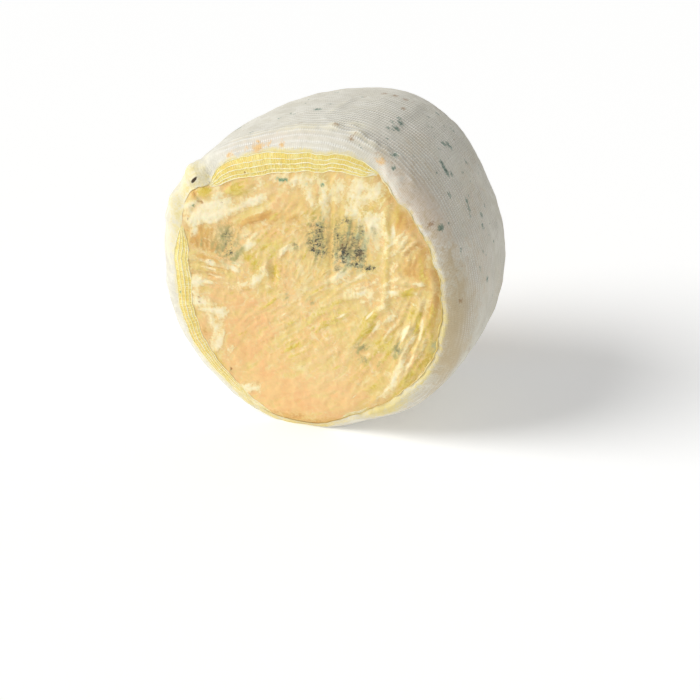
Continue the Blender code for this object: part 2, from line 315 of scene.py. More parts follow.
def shapedBy(shapes, x, z, warpX, warpZ):
    height = np.zeros_like(x)
    wavyX = x + 0.8 * warpX
    wavyZ = z + 0.8 * warpZ
    for start, end, width, rise in shapes["strokes"]:
        height += rise * bell(awayFrom(wavyX, wavyZ, start, end), width)
    for centreX, centreZ, halfX, halfZ, tilt, rise in shapes["dents"]:
        height += rise * bell(ellipse(wavyX, wavyZ, centreX, centreZ, halfX, halfZ, tilt), 1)
    for centreX, centreZ, halfX, halfZ, direction, pitch, rise in shapes["pleats"]:
        turn = math.radians(direction)
        across = wavyZ * math.cos(turn) - wavyX * math.sin(turn) + 1.6 * warpX
        inside = bell(ellipse(x, z, centreX, centreZ, halfX, halfZ), 0.75)
        height += rise * inside * np.sin(across / pitch * math.tau + 2.2 * warpZ)
    return height


# which way the smears run at a place, blended from the nearest of the given ones
def flowAt(flow, x, z):
    first = np.zeros_like(x)
    second = np.zeros_like(x)
    for atX, atZ, direction in flow:
        weight = ((x - atX) ** 2 + (z - atZ) ** 2 + 6) ** -1.5
        first += weight * math.cos(math.radians(direction) * 2)
        second += weight * math.sin(math.radians(direction) * 2)
    return np.arctan2(second, first) / 2


# noise about 0.5, smeared along a direction
def smeared(x, depth, z, direction, size, reach, seed):
    total = np.zeros_like(x)
    for share in np.linspace(-1, 1, 9):
        there = (x + share * reach * np.cos(direction), z + share * reach * np.sin(direction))
        total += grain(there[0], depth, there[1], size, seed)
    return 0.5 + 0.13 * total / total.std()


# where places on the rind lie, and their relief
def rindAt(angle, run):
    x, z = onFace(angle, run)
    isFront = run < middleRun
    depth = np.where(isFront, 0, 100)
    warpX = grain(x, depth, z, 9, 1) + 0.5 * grain(x, depth, z, 3.5, 2)
    warpZ = grain(x, depth, z, 9, 3) + 0.5 * grain(x, depth, z, 3.5, 4)
    rough = grain(x, depth, z, 2.6, 5, 3)
    crinkle = (1 - np.abs(grain(x + warpX, depth, z + warpZ, 6, 6, 2))) ** 4
    relief = np.where(isFront, *(shapedBy(shapes, x, z, warpX, warpZ) for shapes in (rind, backRind)))
    relief = relief + 0.11 * rough + 0.22 * (crinkle - 0.4)
    fade = eased((wheel["frontRadius"] - np.hypot(x, z)) / wheel["frontRounding"])
    spot = {"x": x, "z": z, "isFront": isFront, "depth": depth, "warpX": warpX, "warpZ": warpZ}
    return spot | {"rough": rough, "relief": relief * fade}


# colours of the rind: where each tint lies, as centre, half widths, tilt and strength

tints = {
    "peach": [
        (-20, -32, 17, 16, 0, 0.9), (0, -44, 24, 9, 0, 0.9), (-29, -8, 10, 11, 0, 0.8),
        (16, -38, 13, 9, 20, 0.7), (-2, 33, 17, 6, 0, 0.6), (-15, -14, 12, 10, 30, 0.5),
        (38, 30, 6, 4, -30, 0.8), (-7, 7, 4, 4, 0, 0.5), (42, -25, 2.2, 6, -20, 0.7),
        (37, 6, 6, 2.4, 20, 0.6), (10, -27, 16, 9, 30, 0.4), (-38, -22, 5, 5, 0, 0.7),
    ],
    "amber": [
        (42, 15, 5, 11, 20, 0.9), (30.5, 41, 2.6, 6, 35, 0.9), (49, 0, 1.8, 13, 0, 1),
        (47, 12, 2, 6, 15, 0.7), (43, 20, 3, 6, 30, 0.5), (-40, 14, 5, 6, 0, 0.8), (-34, 9, 5, 4, 0, 0.5),
        (-18, 24, 15, 3, 12, 0.55), (0, 24, 11, 4, 0, 0.5), (-43.5, -1, 1.4, 5, 0, 0.6),
        # (0, -53) is an amber band along the bottom edge, partly the rind's colour and partly painted shade
        # where the edge turns down
        (0, -53, 17, 3.4, 0, 0.9), (45, -1, 1.6, 7, 0, 0.4), (-41, 31, 1.2, 4, 14, 1),
        (-38, -24, 3, 4, 0, 0.4), (32, 30.5, 0.6, 3, 4, 1), (-27, 36.5, 2.6, 1.2, 20, 0.6),
        (0.5, 37.5, 3.4, 2.6, 20, 0.6), (-29, 24.5, 2.2, 2, 0, 0.6), (38.5, 31, 4, 2.2, -40, 0.6),
        (42.5, 33, 1.4, 3.4, 40, 0.5), (-37, 1.5, 5, 0.5, -4, 0.8), (-37, 6.6, 5, 0.5, -12, 0.8),
        (-31, 6, 2.2, 0.6, -30, 0.8), (31, -12, 0.7, 5, -32, 0.7), (24, -15, 0.6, 5, -34, 0.6),
        (36, -9, 0.6, 5, -40, 0.6), (42, -16, 0.6, 6, -22, 0.7), (-24.5, 31.5, 1.6, 0.8, 20, 0.7),
        (-28.5, 32, 0.9, 0.7, 0, 0.7), (-19, 30, 1, 0.6, 0, 0.6), (29.5, 26.5, 1.6, 1.2, 0, 0.5),
    ],
    "straw": [
        (-18, 7, 3.2, 7, 20, 0.8), (-14, 15, 2.6, 5, -30, 0.45), (-11, 5, 2.2, 4.6, -8, 1),
        (-12, -3, 3, 2.6, 0, 0.5), (14, 36, 18, 8, 0, 0.45), (24, 22, 9, 12, 0, 0.35),
        (10, 28, 10, 8, 0, 0.3), (-24, 34.5, 6, 4, 30, 0.8), (-36, 32, 3.6, 3.2, 10, 0.7),
        (32, 17, 1.4, 19, 0, 0.75), (24.5, 32, 2.6, 3.2, -40, 0.75), (28, 36, 1.8, 5, -40, 0.6),
        (43, -5, 1.8, 7, 10, 0.8), (27, -7, 1.4, 6, -40, 0.45), (26, -12, 1.4, 5, -20, 0.3),
        (8, -12, 22, 10, 35, 0.35), (-43.5, -14, 1.4, 4, 15, 0.8), (-34, -33, 1.6, 4.5, 35, 0.9),
        (-4, -25, 3, 5, 0, 0.25), (20, 35, 12, 6, 0, 0.35), (30, -28, 12, 10, 40, 0.4),
        (38, -8, 9, 14, -15, 0.4), (40, 4, 9, 7, 0, 0.35), (7, 42.5, 6, 1.8, 0, 0.8),
        (-42, 26, 2, 2.6, 0, 0.7), (11.6, 20, 0.9, 14, 0, 0.6), (-25, 0, 6, 1.4, 10, 0.4),
        (-8, 20, 6, 7, 0, 0.3), (46, 12, 1, 10, 18, 0.5), (48.5, -16, 3.4, 8, -12, 1),
        (45.5, -25, 2.6, 6, -30, 1), (38.5, -33, 2, 7, -42, 0.9), (2, 10, 20, 8, 20, 0.2),
        (17.6, 34, 0.9, 4, 4, 0.6), (6.4, 35, 0.7, 4, 10, 0.5), (22.5, 37, 0.8, 4, -30, 0.7),
        (25.6, 38.5, 0.8, 4, -36, 0.6), (-19.5, 14, 1.6, 2.4, 0, 0.6), (34, -3, 0.9, 4, 30, 0.6),
        (29, -14, 1, 4, -34, 0.5), (22.6, -12.5, 0.9, 4, -38, 0.25), (19, -17.5, 0.9, 3, -38, 0.3),
        (-27, -5, 4, 1, 20, 0.4), (-14, -8, 5, 1.4, 30, 0.35), (28, -34, 1.2, 4, -40, 0.5),
    ],
    "cream": [
        (-37, 24, 7.5, 3.6, 6, 1), (-30, 27.5, 6, 2.8, 12, 0.9), (-18, 31, 7, 2.2, 15, 0.75),
        (-31, 32.5, 2, 3, 0, 0.7), (14, 38.5, 16, 5, 0, 0.42), (20, 34, 12, 8, 0, 0.26),
        (28, 23, 4, 9, 0, 0.45), (27, 27, 3.2, 4.4, -30, 0.5), (22, 36, 5, 2.6, 30, 0.2),
        (18, 12, 12, 7, 0, 0.3), (16.4, 35, 1.1, 6, 0, 0.6), (3, 37, 1.6, 4, 12, 0.5),
        (9, 31, 1.3, 4, -8, 0.45), (-42, -5, 2.6, 4.5, 0, 0.9), (-37.5, -12, 6, 2.6, -10, 1),
        (-32, -13.5, 2.8, 2.2, 30, 0.9), (-34.5, -19.5, 2.8, 2.4, -40, 0.8), (-33.6, -25, 2.2, 5, 8, 0.95),
        (-29, -43, 2, 4, 40, 0.7), (-22.5, -42.5, 2.6, 2.2, 0, 0.95), (-18.5, -42, 1.4, 2.4, 20, 0.75),
        (-28, -27.5, 1.2, 1.2, 0, 0.5), (36, 12, 2, 5, 0, 0.4), (37, 23, 4.4, 1.1, 50, 0.7),
        (34, 4, 2, 5, -30, 0.4), (43, 8.8, 3.4, 0.9, 10, 0.5), (33.5, -5, 2.6, 5, -30, 0.6),
        (39, -9, 1.6, 6, -35, 0.5), (40, -16, 1, 6, -25, 0.6), (37, -25, 1, 6, -30, 0.7),
        (33, -34, 2, 5, -30, 0.45), (28, -41, 3, 1.6, 35, 0.4), (-36, 4.6, 3, 1.1, -10, 0.9),
        (-13.6, 5.4, 1.6, 3, 0, 0.8), (-13, -1, 2, 1.6, 0, 0.5), (-42, 18, 1.2, 3.4, 0, 0.7),
        (-20, 14, 4, 3, 0, 0.4), (-38, -27, 2.4, 2.6, 0, 0.5), (22, 5, 12, 5, 10, 0.4),
        (46, -14, 1.2, 4, -15, 0.3), (-20, 0, 8, 3, 30, 0.4), (27, 1, 4, 3, 0, 0.45),
        (-25, 5, 6, 3, 0, 0.45), (-28, -2, 6, 1.6, -8, 0.4), (4, 35, 3, 3, 0, 0.4),
        (14.2, 37, 0.7, 5, -3, 0.5), (1, 41.6, 9, 2.2, 0, 0.6), (20, 42, 9, 2.6, 0, 0.62),
        (-7, 39.6, 4.6, 2.6, 0, 0.55), (-16, 37, 5, 1.6, 18, 0.4), (20.6, 34, 0.8, 5, -6, 0.5),
        (27.8, 40, 0.9, 3, -34, 0.6), (25.4, 29, 1.3, 1.8, -20, 0.8), (35.6, 24.5, 0.4, 5, -44, 0.8),
        (38, 21.5, 0.4, 6, -52, 0.75), (40, 18, 0.4, 5, -50, 0.65), (35.2, 14.5, 1, 4, -20, 0.7),
        (44.5, 3.5, 2, 2.6, 0, 0.6), (39, 0.5, 3, 1.2, -24, 0.6), (-4, 15.5, 4, 1, 30, 0.5),
        (-20, 18, 4, 1.2, 20, 0.5), (-37.5, 8.6, 4.5, 0.5, -14, 0.8), (-36.5, 3, 5, 0.5, -3, 0.8),
        (-38, -2.4, 4, 0.5, 4, 0.8), (-34, 0.5, 5, 0.4, 4, 0.6), (33.6, -9.5, 0.6, 4, -34, 0.8),
        (27.6, -11, 0.6, 5, -32, 0.7), (38.2, -13, 0.6, 6, -24, 0.8), (44.5, -10, 0.6, 6, -14, 0.8),
        (41.4, -21, 0.6, 6, -26, 0.8), (35.4, -29, 0.6, 5, -32, 0.8), (30.4, -36, 0.6, 5, -42, 0.7),
        (-36.2, -17, 0.8, 0.7, 0, 0.8), (-31.4, -22, 0.6, 1.2, 0, 0.6), (-29.4, -29.5, 0.6, 1.4, 10, 0.6),
        (-30.5, -40, 0.7, 3, 40, 0.7),
    ],
    "grey": [
        (-28, 14, 5.4, 6.5, 0, 0.85), (-29, 8.5, 3, 1.6, 0, 0.3), (-37, 12, 3.4, 2.4, 0, 0.45),
        (-2.4, 16.5, 1.4, 1.6, 0, 0.6), (-6, -3, 2.4, 2.4, 0, 0.35), (4, -3, 2.2, 2.6, 0, 0.45),
        (23.2, -18.4, 2.6, 2, 0, 0.75), (23.4, -23, 2.8, 2.6, 0, 0.6), (30, -23, 1.4, 2.4, 0, 0.65),
        (36.6, -16.4, 2.2, 2.4, 0, 0.85), (36, -19.5, 1, 1, 0, 0.7), (27, -13, 1.2, 1.8, 0, 0.5),
        (49, -15, 2.2, 4, -10, 0.7), (47.5, -23, 2, 4, -30, 0.6), (7.5, 21, 5, 8, 0, 0.75),
        (18, 19, 7, 9, 0, 0.85), (28, 25, 1.6, 2.2, 0, 0.4), (-10.5, -34.5, 0.6, 0.5, 0, 0.6),
        (-29, -37, 0.8, 2, 20, 0.5), (-39.6, 28.6, 1.2, 2, 35, 0.3), (11.6, 40, 1, 5, 0, 0.3),
    ],
    "mould": [
        (6.4, 20.4, 3.2, 6.4, 0, 0.57), (7.2, 23.6, 2, 1.8, 0, 0.3), (5.8, 18.2, 2.4, 2.4, 0, 0.3),
        (13.6, 22.6, 1.6, 3.4, 0, 0.6), (16.6, 28.2, 2, 1.4, 0, 0.5), (16.6, 17.4, 2.6, 4.2, -6, 0.75),
        (16.4, 17, 1.6, 2.6, -6, 0.8), (22.2, 17.2, 1.7, 2.8, 0, 0.75), (22, 16.8, 1.3, 2, 0, 0.7),
        (19.4, 21, 2.2, 4, 0, 0.5), (22.6, 25.4, 1.1, 2.4, 0, 0.5), (20, 12.9, 5, 1.3, -4, 0.65),
        (25.8, 12.3, 2, 0.9, 24, 0.75), (13.8, 10.2, 0.8, 1.3, -40, 0.7), (11.8, 15, 0.5, 3.2, 0, 0.5),
        (8.2, 15.2, 2.4, 1.2, 0, 0.5), (-28.4, 16, 2.8, 3.6, 8, 0.28), (-27.6, 11, 2.6, 3, 0, 0.26),
        (-2.4, 16.5, 0.9, 1.1, 0, 0.5), (23.2, -18.2, 1.8, 1.5, 0, 0.26), (24, -23, 1.6, 1.8, 0, 0.2),
        (37, -16.2, 1.8, 2, 0, 0.46),
    ],
    "blueHaze": [
        (18.8, 22.5, 3, 3.6, 0, 0.5), (22.8, 20, 1.8, 5, 0, 0.6), (17, 14.2, 4, 2.2, 0, 0.7),
        (20.5, 12.6, 3, 1.4, 0, 0.6), (12.4, 14, 1.2, 3.4, -10, 0.6), (6.5, 25, 2, 3, 0, 0.5),
        (3.5, 40.2, 3, 1, 0, 0.7), (-7, 38.6, 3, 1, 0, 0.4), (49.6, -14, 1.8, 2.6, 0, 0.9),
    ],
    "green": [
        (-7.4, 40.2, 2.6, 1.3, -8, 1), (-5.2, 40.6, 1.2, 0.9, 0, 0.9), (8.6, 40.2, 1.1, 1, 0, 0.6),
        (11, 43.4, 1.6, 1.2, 0, 0.5), (-41.4, 25.6, 0.8, 0.6, 0, 0.9), (-48.3, -9, 0.6, 1, 0, 0.8),
        (31, -39.2, 0.7, 0.4, 0, 1),
    ],
    "brown": [
        (-11.4, 2.6, 0.7, 1, 0, 0.5), (-20.8, 40.8, 0.5, 0.7, -20, 0.9), (-29, -36, 0.6, 0.9, 0, 0.7),
        (-28.5, -39, 0.6, 0.5, 0, 0.8), (-41, -8.6, 1.2, 0.35, -10, 0.8), (-40.5, -10.6, 0.8, 0.35, 0, 0.8),
        (0.3, -29.5, 0.45, 0.35, 0, 1.2), (-30.2, 29, 0.6, 0.4, 0, 0.7), (-18, 34.5, 1.6, 0.4, 25, 0.8),
        (-7.4, 10.6, 0.6, 0.4, 20, 0.7), (5.4, 16.4, 1.2, 0.5, -40, 0.7), (15.6, 19.4, 0.6, 0.8, 0, 0.9),
        (-36, 6.4, 1.4, 0.3, -35, 0.5), (-37, 3.6, 3, 0.3, -5, 0.7), (42, 8.2, 1.2, 0.4, 0, 0.6),
        (31.8, -8.6, 0.4, 1, -30, 0.7), (-41, 31, 0.9, 3.4, 16, 0.55), (-38.6, 28, 1.2, 1.4, 30, 0.5),
        (-43.6, 21.6, 0.7, 1.6, -20, 0.5), (-27.4, 32.2, 0.5, 0.3, 30, 0.6),
        (-25.8, 30.4, 0.4, 0.3, 0, 0.6),
    ],
}
backTints = {
    "peach": [
        (14, 10, 20, 16, 0, 0.9), (-12, -30, 18, 12, 0, 0.8), (-28, 18, 8, 10, 0, 0.6),
        (30, -20, 8, 8, 0, 0.7),
    ],
    "amber": [
        # (0, -50) is the same amber band along the bottom edge, partly painted shade
        (36, 16, 5, 12, 0, 0.8), (-40, -8, 4, 10, 0, 0.7), (0, -50, 16, 3, 0, 0.8), (-14, 8, 8, 5, 30, 0.5),
    ],
    "straw": [
        (-16, 26, 6, 6, 20, 0.8), (10, 12, 2, 3.6, 12, 1), (26, -4, 3, 12, 10, 0.7),
        (-28, -22, 6, 4, 40, 0.8), (4, 38, 10, 2.4, 0, 0.8), (-4, -12, 14, 6, 30, 0.4),
    ],
    "cream": [
        (-30, 30, 7, 3, 20, 0.9), (22, 32, 7, 3, -30, 0.9), (38, -2, 2.4, 6, 0, 0.8),
        (34, -26, 3, 6, -30, 0.8), (-36, -26, 3, 5, 30, 0.8), (-40, 8, 2.4, 6, 0, 0.8),
        (-6, 20, 6, 3, 0, 0.5), (12, -40, 8, 2.6, 0, 0.8), (0, 2, 12, 6, 20, 0.4),
    ],
    "grey": [
        (-8, -20, 5, 4, 0, 0.7), (20, 18, 4, 5, 0, 0.7), (-24, 0, 3, 3, 0, 0.6), (30, -32, 2, 2, 0, 0.5),
    ],
    "mould": [
        (-9, -20, 1.6, 1.6, 0, 0.9), (-5.5, -18, 1.4, 1, 0, 0.8), (21, 19, 1.4, 1.6, 0, 0.8),
        (19, 15, 2, 1, 0, 0.8),
    ],
    "blueHaze": [(-8, -19, 4, 3, 0, 0.8), (20, 17, 3, 4, 0, 0.7)],
    "green": [(-20, 40, 2, 0.9, 0, 1), (32, 24, 1, 0.8, 0, 0.9)],
    "brown": [(10, 9.5, 0.8, 1, 0, 0.7), (-22, 28, 1, 0.4, 20, 0.8), (4, -24, 0.5, 0.5, 0, 0.8)],
}


def tintOf(x, z, spots):
    bare = np.ones_like(x)
    for centreX, centreZ, halfX, halfZ, tilt, strength in spots:
        bare *= 1 - np.minimum(strength * bell(ellipse(x, z, centreX, centreZ, halfX, halfZ, tilt), 0.75), 1)
    return 1 - bare


# fine strokes along the flow of the front face
def scratches(name):
    spots = []
    for number in range(rind["scratches"].get(name, 0)):
        turn = random.uniform(0, math.tau)
        away = rind["scratchReach"] * math.sqrt(random.random())
        x, z = away * math.cos(turn), away * math.sin(turn)
        tilt = math.degrees(float(flowAt(rind["flow"], np.array(x), np.array(z)))) + random.gauss(0, 7)
        halves = (random.uniform(1.4, 5), random.uniform(0.25, 0.5))
        spots.append((x, z, *halves, tilt, random.uniform(0.3, rind["scratchStrength"])))
    return spots


# bmesh helpers

# a profile of radius and distance along, spun round the y axis
def spunFrom(points, segments, closed):
    made = bmesh.new()
    corners = [made.verts.new((radius, along, 0)) for radius, along in points]
    pairs = list(zip(corners, corners[1:] + corners[:1]))
    sides = [made.edges.new(pair) for pair in (pairs if closed else pairs[:-1])]
    bmesh.ops.spin(
        made,
        geom=corners + sides,
        cent=(0, 0, 0),
        axis=(0, 1, 0),
        angle=math.tau,
        steps=segments,
        use_merge=True,
    )
    bmesh.ops.remove_doubles(made, verts=made.verts, dist=1e-6)
    return made


# places and angles of the corners of a spun mesh
def cornersOf(made):
    places = np.array([corner.co for corner in made.verts])
    return places, np.degrees(np.arctan2(places[:, 2], places[:, 0]))


def moveCorners(made, places):
    for corner, spot in zip(made.verts, (places * mm).tolist()):
        corner.co = spot


sharpFrom = math.radians(75)  # edges that turn more than this show sharp


# values are numbers for each corner, which the material reads by name
def finishPiece(made, name, material, values):
    bmesh.ops.recalc_face_normals(made, faces=made.faces)
    for edge in made.edges:
        edge.smooth = edge.calc_face_angle(0) < sharpFrom
    data = bpy.data.meshes.new(name)
    made.to_mesh(data)
    made.free()
    data.shade_smooth()
    for key, numbers in values.items():
        layer = data.attributes.new(key, "FLOAT", "POINT")
        layer.data.foreach_set("value", np.asarray(numbers, np.float32))
    data.materials.append(material)
    piece = bpy.data.objects.new(name, data)
    bpy.context.scene.collection.objects.link(piece)
    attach(piece, "root")
    return piece


# shader helpers

class Wire:  # one output of a node, so that shader maths reads as plain sums
    def __init__(self, paint, socket):
        self.paint = paint
        self.socket = socket

    def calc(self, operation, *others):
        return self.paint.node("Math", {"operation": operation}, dict(enumerate((self, *others))))

    def __add__(self, other):
        return self.calc("ADD", other)

    def __sub__(self, other):
        return self.calc("SUBTRACT", other)

    def __mul__(self, other):
        return self.calc("MULTIPLY", other)

    def __rsub__(self, other):
        return self.paint.node("Math", {"operation": "SUBTRACT"}, {0: other, 1: self})

    __radd__ = __add__

    def rise(self, low, high):  # eased from 0 at low to 1 at high
        spans = {"Value": self, "From Min": low, "From Max": high}
        return self.paint.node("MapRange", {"interpolation_type": "SMOOTHSTEP"}, spans)


class Paint:  # one material and its nodes
    def __init__(self, name, roughness, **constants):
        self.material = bpy.data.materials.new(name)
        self.material.use_nodes = True
        self.tree = self.material.node_tree
        self.shader = self.tree.nodes["Principled BSDF"]
        self.shader.inputs["Roughness"].default_value = roughness
        for key, value in constants.items():
            self.shader.inputs[key.replace("_", " ")].default_value = value
        self.where = self.node("TexCoord", output="Object")

    def node(self, kind, settings=None, sockets=None, output=0):
        made = self.tree.nodes.new("ShaderNode" + kind)
        for key, value in (settings or {}).items():
            setattr(made, key, value)
        for key, value in (sockets or {}).items():
            if isinstance(value, Wire):
                self.tree.links.new(value.socket, made.inputs[key])
            else:
                made.inputs[key].default_value = value
        return Wire(self, made.outputs[output])

    def mix(self, factor, first, second):
        first, second = (value if isinstance(value, Wire) else (*value, 1) for value in (first, second))
        return self.node("Mix", {"data_type": "RGBA"}, {0: factor, 6: first, 7: second}, output=2)

    # noise about 0.5; long and lean draw it out into fibres that lean this far from level
    def blotches(self, size, detail, distortion=0, long=1, lean=0, shift=0):
        turn = (0, -math.radians(lean), 0)
        spans = {"Vector": self.where, "Scale": (long, 1, 1), "Rotation": turn}
        laid = self.node("Mapping", {"vector_type": "TEXTURE"}, spans | {"Location": (0, shift * mm, 0)})
        sockets = {"Vector": laid, "Scale": 1 / (size * mm), "Detail": detail, "Roughness": 0.6}
        return self.node("TexNoise", {}, sockets | {"Distortion": distortion})

    def reading(self, attribute):
        return self.node("Attribute", {"attribute_name": attribute}, output="Fac")

    def feed(self, name, wire):
        self.tree.links.new(wire.socket, self.shader.inputs[name])

    def bump(self, height, distance):
        return self.node("Bump", {}, {"Height": height, "Distance": distance * mm, "Strength": 1.0})


# sRGB values from 0 to 255, all above 10, as Blender's linear colour
def shade(red, green, blue):
    return tuple(((value / 255 + 0.055) / 1.055) ** 2.4 for value in (red, green, blue))


rindColours = {
    "base": shade(231, 204, 134),
    "light": shade(244, 227, 176),
    "tan": shade(220, 187, 108),
    "peach": shade(239, 198, 134),
    "peachDeep": shade(238, 189, 128),
    "amber": shade(224, 182, 104),
    "amberDeep": shade(212, 163, 88),
    "straw": shade(229, 207, 116),
    "strawDeep": shade(208, 181, 58),
    "hem": shade(243, 227, 148),
    "hemDeep": shade(234, 207, 106),
    "gold": shade(230, 200, 116),
    "goldDeep": shade(214, 190, 98),
    "cream": shade(247, 236, 198),
    "creamDeep": shade(242, 224, 168),
    "rim": shade(214, 168, 108),
    "grey": shade(168, 161, 104),
    "mould": shade(34, 42, 46),
    "mouldSoft": shade(122, 124, 92),
    "blueHaze": shade(186, 196, 160),
    "green": shade(96, 142, 106),
    "brown": shade(150, 96, 42),
}


def rindPaint():
    paint = Paint("rindFinish", 0.5, Subsurface_Weight=0.08, Subsurface_Scale=0.002)
    c = rindColours
    fine = paint.blotches(1.0, 4, 0.5)
    medium = paint.blotches(3.4, 5, 1.2)
    cloudy = paint.blotches(5.5, 5, 1.6, shift=60)
    broad = paint.blotches(12, 4, 1.0)
    smear = paint.reading("smear")
    fibre = paint.reading("streak") + (fine - 0.5) * 0.3
    colour = paint.mix(broad.rise(0.4, 0.6), c["base"], c["peach"])
    colour = paint.mix(cloudy.rise(0.5, 0.66) * 0.7, colour, c["light"])
    colour = paint.mix((1 - cloudy).rise(0.52, 0.68) * 0.6, colour, c["tan"])
    colour = paint.mix((1 - smear).rise(0.5, 0.76) * 0.34, colour, c["straw"])
    colour = paint.mix(smear.rise(0.5, 0.78) * 0.5, colour, c["light"])
    colour = paint.mix(fine.rise(0.54, 0.72) * 0.3, colour, c["light"])
    colour = paint.mix((1 - fibre).rise(0.52, 0.82) * 0.3, colour, c["tan"])
    colour = paint.mix(fibre.rise(0.5, 0.78) * 0.42, colour, c["light"])
    contour = (cloudy - 0.53).calc("ABSOLUTE") + (medium - 0.57).calc("ABSOLUTE") * 0.6
    colour = paint.mix((1 - contour.rise(0.0, 0.05)) * fine.rise(0.4, 0.6) * 0.45, colour, c["rim"])

    # how far a tint covers the rind, with a ragged edge
    def masked(name, crumble, streaks):
        rough = (fine + medium - 1) * crumble * 0.8 + (smear - 0.5) * crumble + (fibre - 0.5) * streaks * 1.5
        return paint.reading(name) + rough * paint.reading(name).rise(0, 0.4)

    def laid(under, name, over, low, high, crumble, streaks=0.6):
        return paint.mix(masked(name, crumble, streaks).rise(low, high), under, over)

    peach = paint.mix(broad.rise(0.42, 0.6), c["peach"], c["peachDeep"])
    colour = laid(colour, "peach", peach, 0.15, 1.0, 1.0)
    amber = paint.mix(fibre.rise(0.4, 0.62), c["amberDeep"], c["amber"])
    colour = laid(colour, "amber", amber, 0.15, 0.85, 1.4)
    straw = paint.mix(medium.rise(0.42, 0.62) * (1 - paint.reading("pit")), c["strawDeep"], c["straw"])
    colour = laid(colour, "straw", straw, 0.1, 1.0, 1.6, 1.0)
    cream = masked("cream", 1.5, 0.6)
    colour = paint.mix(cream.rise(0.12, 0.3) * (1 - cream.rise(0.3, 0.5)) * 0.4, colour, c["rim"])
    colour = paint.mix(cream.rise(0.08, 0.7) * 0.92, colour, c["creamDeep"])
    colour = paint.mix(cream.rise(0.45, 1.15), colour, c["cream"])
    colour = laid(colour, "grey", c["grey"], 0.05, 1.25, 1.0, 1.2)
    colour = laid(colour, "blueHaze", c["blueHaze"], 0.2, 1.3, 1.2, 0.6)
    dashes = paint.blotches(0.9, 4, 0.9, long=1.3, lean=30)
    rough = (dashes - 0.5) * 3.4 + (medium - 0.5) * 1.6
    dark = paint.reading("mould") + rough * paint.reading("mould").rise(0, 0.25)
    colour = paint.mix(dark.rise(0.0, 0.85) * 0.68, colour, c["mouldSoft"])
    colour = paint.mix(dark.rise(0.6, 1.15) * 0.95, colour, c["mould"])
    hem = paint.mix((fine + cloudy - 0.5).rise(0.4, 0.62), c["hemDeep"], c["hem"])
    gold = paint.mix(medium.rise(0.4, 0.6), c["goldDeep"], c["gold"])
    hem = paint.mix(medium.rise(0.48, 0.64) * 0.55, hem, c["gold"])
    hem = paint.mix(paint.reading("gold"), hem, gold)
    colour = paint.mix((paint.reading("under") + (fine - 0.5) * 0.5).rise(0.3, 0.7), colour, hem)
    colour = laid(colour, "green", c["green"], 0.3, 1.1, 1.8, 0)
    colour = laid(colour, "brown", c["brown"], 0.4, 1.0, 1.0, 0.2)
    # painted shade in the hollows of the relief, towards amber, and painted light on its crests, towards
    # cream
    colour = paint.mix(paint.reading("furrow").rise(0.02, 0.7) * 0.5, colour, c["amber"])
    colour = paint.mix(paint.reading("ridge").rise(0.05, 0.8) * 0.3, colour, c["creamDeep"])
    paint.feed("Base Color", colour)
    paint.feed("Roughness", 0.36 + medium * 0.3)
    paint.feed("Normal", paint.bump(medium * 0.5 + fine * 0.5, 0.22))
    return paint.material


# a column of marks at an angle, smoothed a little
def followed(marks, angle, column):
    at = [mark[0] for mark in marks]
    values = [mark[column] for mark in marks]
    shares = ((-2.5, 0.25), (0, 0.5), (2.5, 0.25))
    return sum(share * np.interp(angle + turn, at, values, period=360) for turn, share in shares)


def makeEdges():
    angle = np.arange(0, 360, 0.5)
    ringX, ringZ = onRing(angle, 56)
    found = {"angle": angle}
    for side, base in (("front", 0), ("back", 60)):
        wander = 0.75 * grain(ringX, base, ringZ, 8, 41) + 0.4 * grain(ringX, base, ringZ, 2.4, 42)
        found[side] = followed(cloth[side + "Edge"], angle, 1) + wander
        found[side + "Hem"] = followed(cloth[side + "Edge"], angle, 2)
    return found


edgeMarks = makeEdges()


def markAt(angle, key):
    return np.interp(angle, edgeMarks["angle"], edgeMarks[key], period=360)


# runs of the woven cloth's two edges
def clothEdges(angle):
    return markAt(angle, "front"), backFaceRun - markAt(angle, "back")


# how far the open hem goes on beyond the cloth's edge
def hemWidth(angle, side):
    return markAt(angle, side + "Hem")


# what the rind's material reads at each corner
def rindValues(angle, run, spot):
    x, z, isFront, depth, warpX = (spot[key] for key in ("x", "z", "isFront", "depth", "warpX"))
    values = {}
    for name in tints:
        sway = 1.1 if name in rind["swayed"] else 0.5
        swayX, swayZ = (x + sway * warpX, z + sway * spot["warpZ"])
        spots = tints[name] + scratches(name)
        values[name] = np.where(isFront, tintOf(swayX, swayZ, spots), tintOf(swayX, swayZ, backTints[name]))
    values["pit"] = np.where(isFront, tintOf(x, z, rind["pit"]), 0)
    flow = np.where(isFront, flowAt(rind["flow"], x, z), flowAt(backRind["flow"], x, z)) + 0.25 * warpX
    values["streak"] = smeared(x, depth, z, flow, 1.1, 3.4, 51)
    values["smear"] = smeared(x, depth, z, flow, 3.0, 6.5, 52)
    # under an open hem the rind is soaked yellow and smoother
    frontRun, backRun = clothEdges(angle)
    frontHem, backHem = hemWidth(angle, "front"), hemWidth(angle, "back")
    underFront = eased(run - frontRun + frontHem + 0.5) * eased(frontHem / 2) * isFront
    underBack = eased(backRun + backHem + 0.5 - run) * eased(backHem / 2) * ~isFront
    values["under"] = np.maximum(underFront, underBack)
    values["gold"] = np.minimum(bell(turned(angle, -42), 24) + 0.7 * bell(turned(angle, 214), 16), 1)
    # the hollows and crests of the relief, where painted shade and painted light go
    values["furrow"] = np.clip(-spot["relief"] - 0.12, 0, 1) * (1 - values["pit"])
    values["ridge"] = np.clip(spot["relief"] - 0.15, 0, 1)
    return values


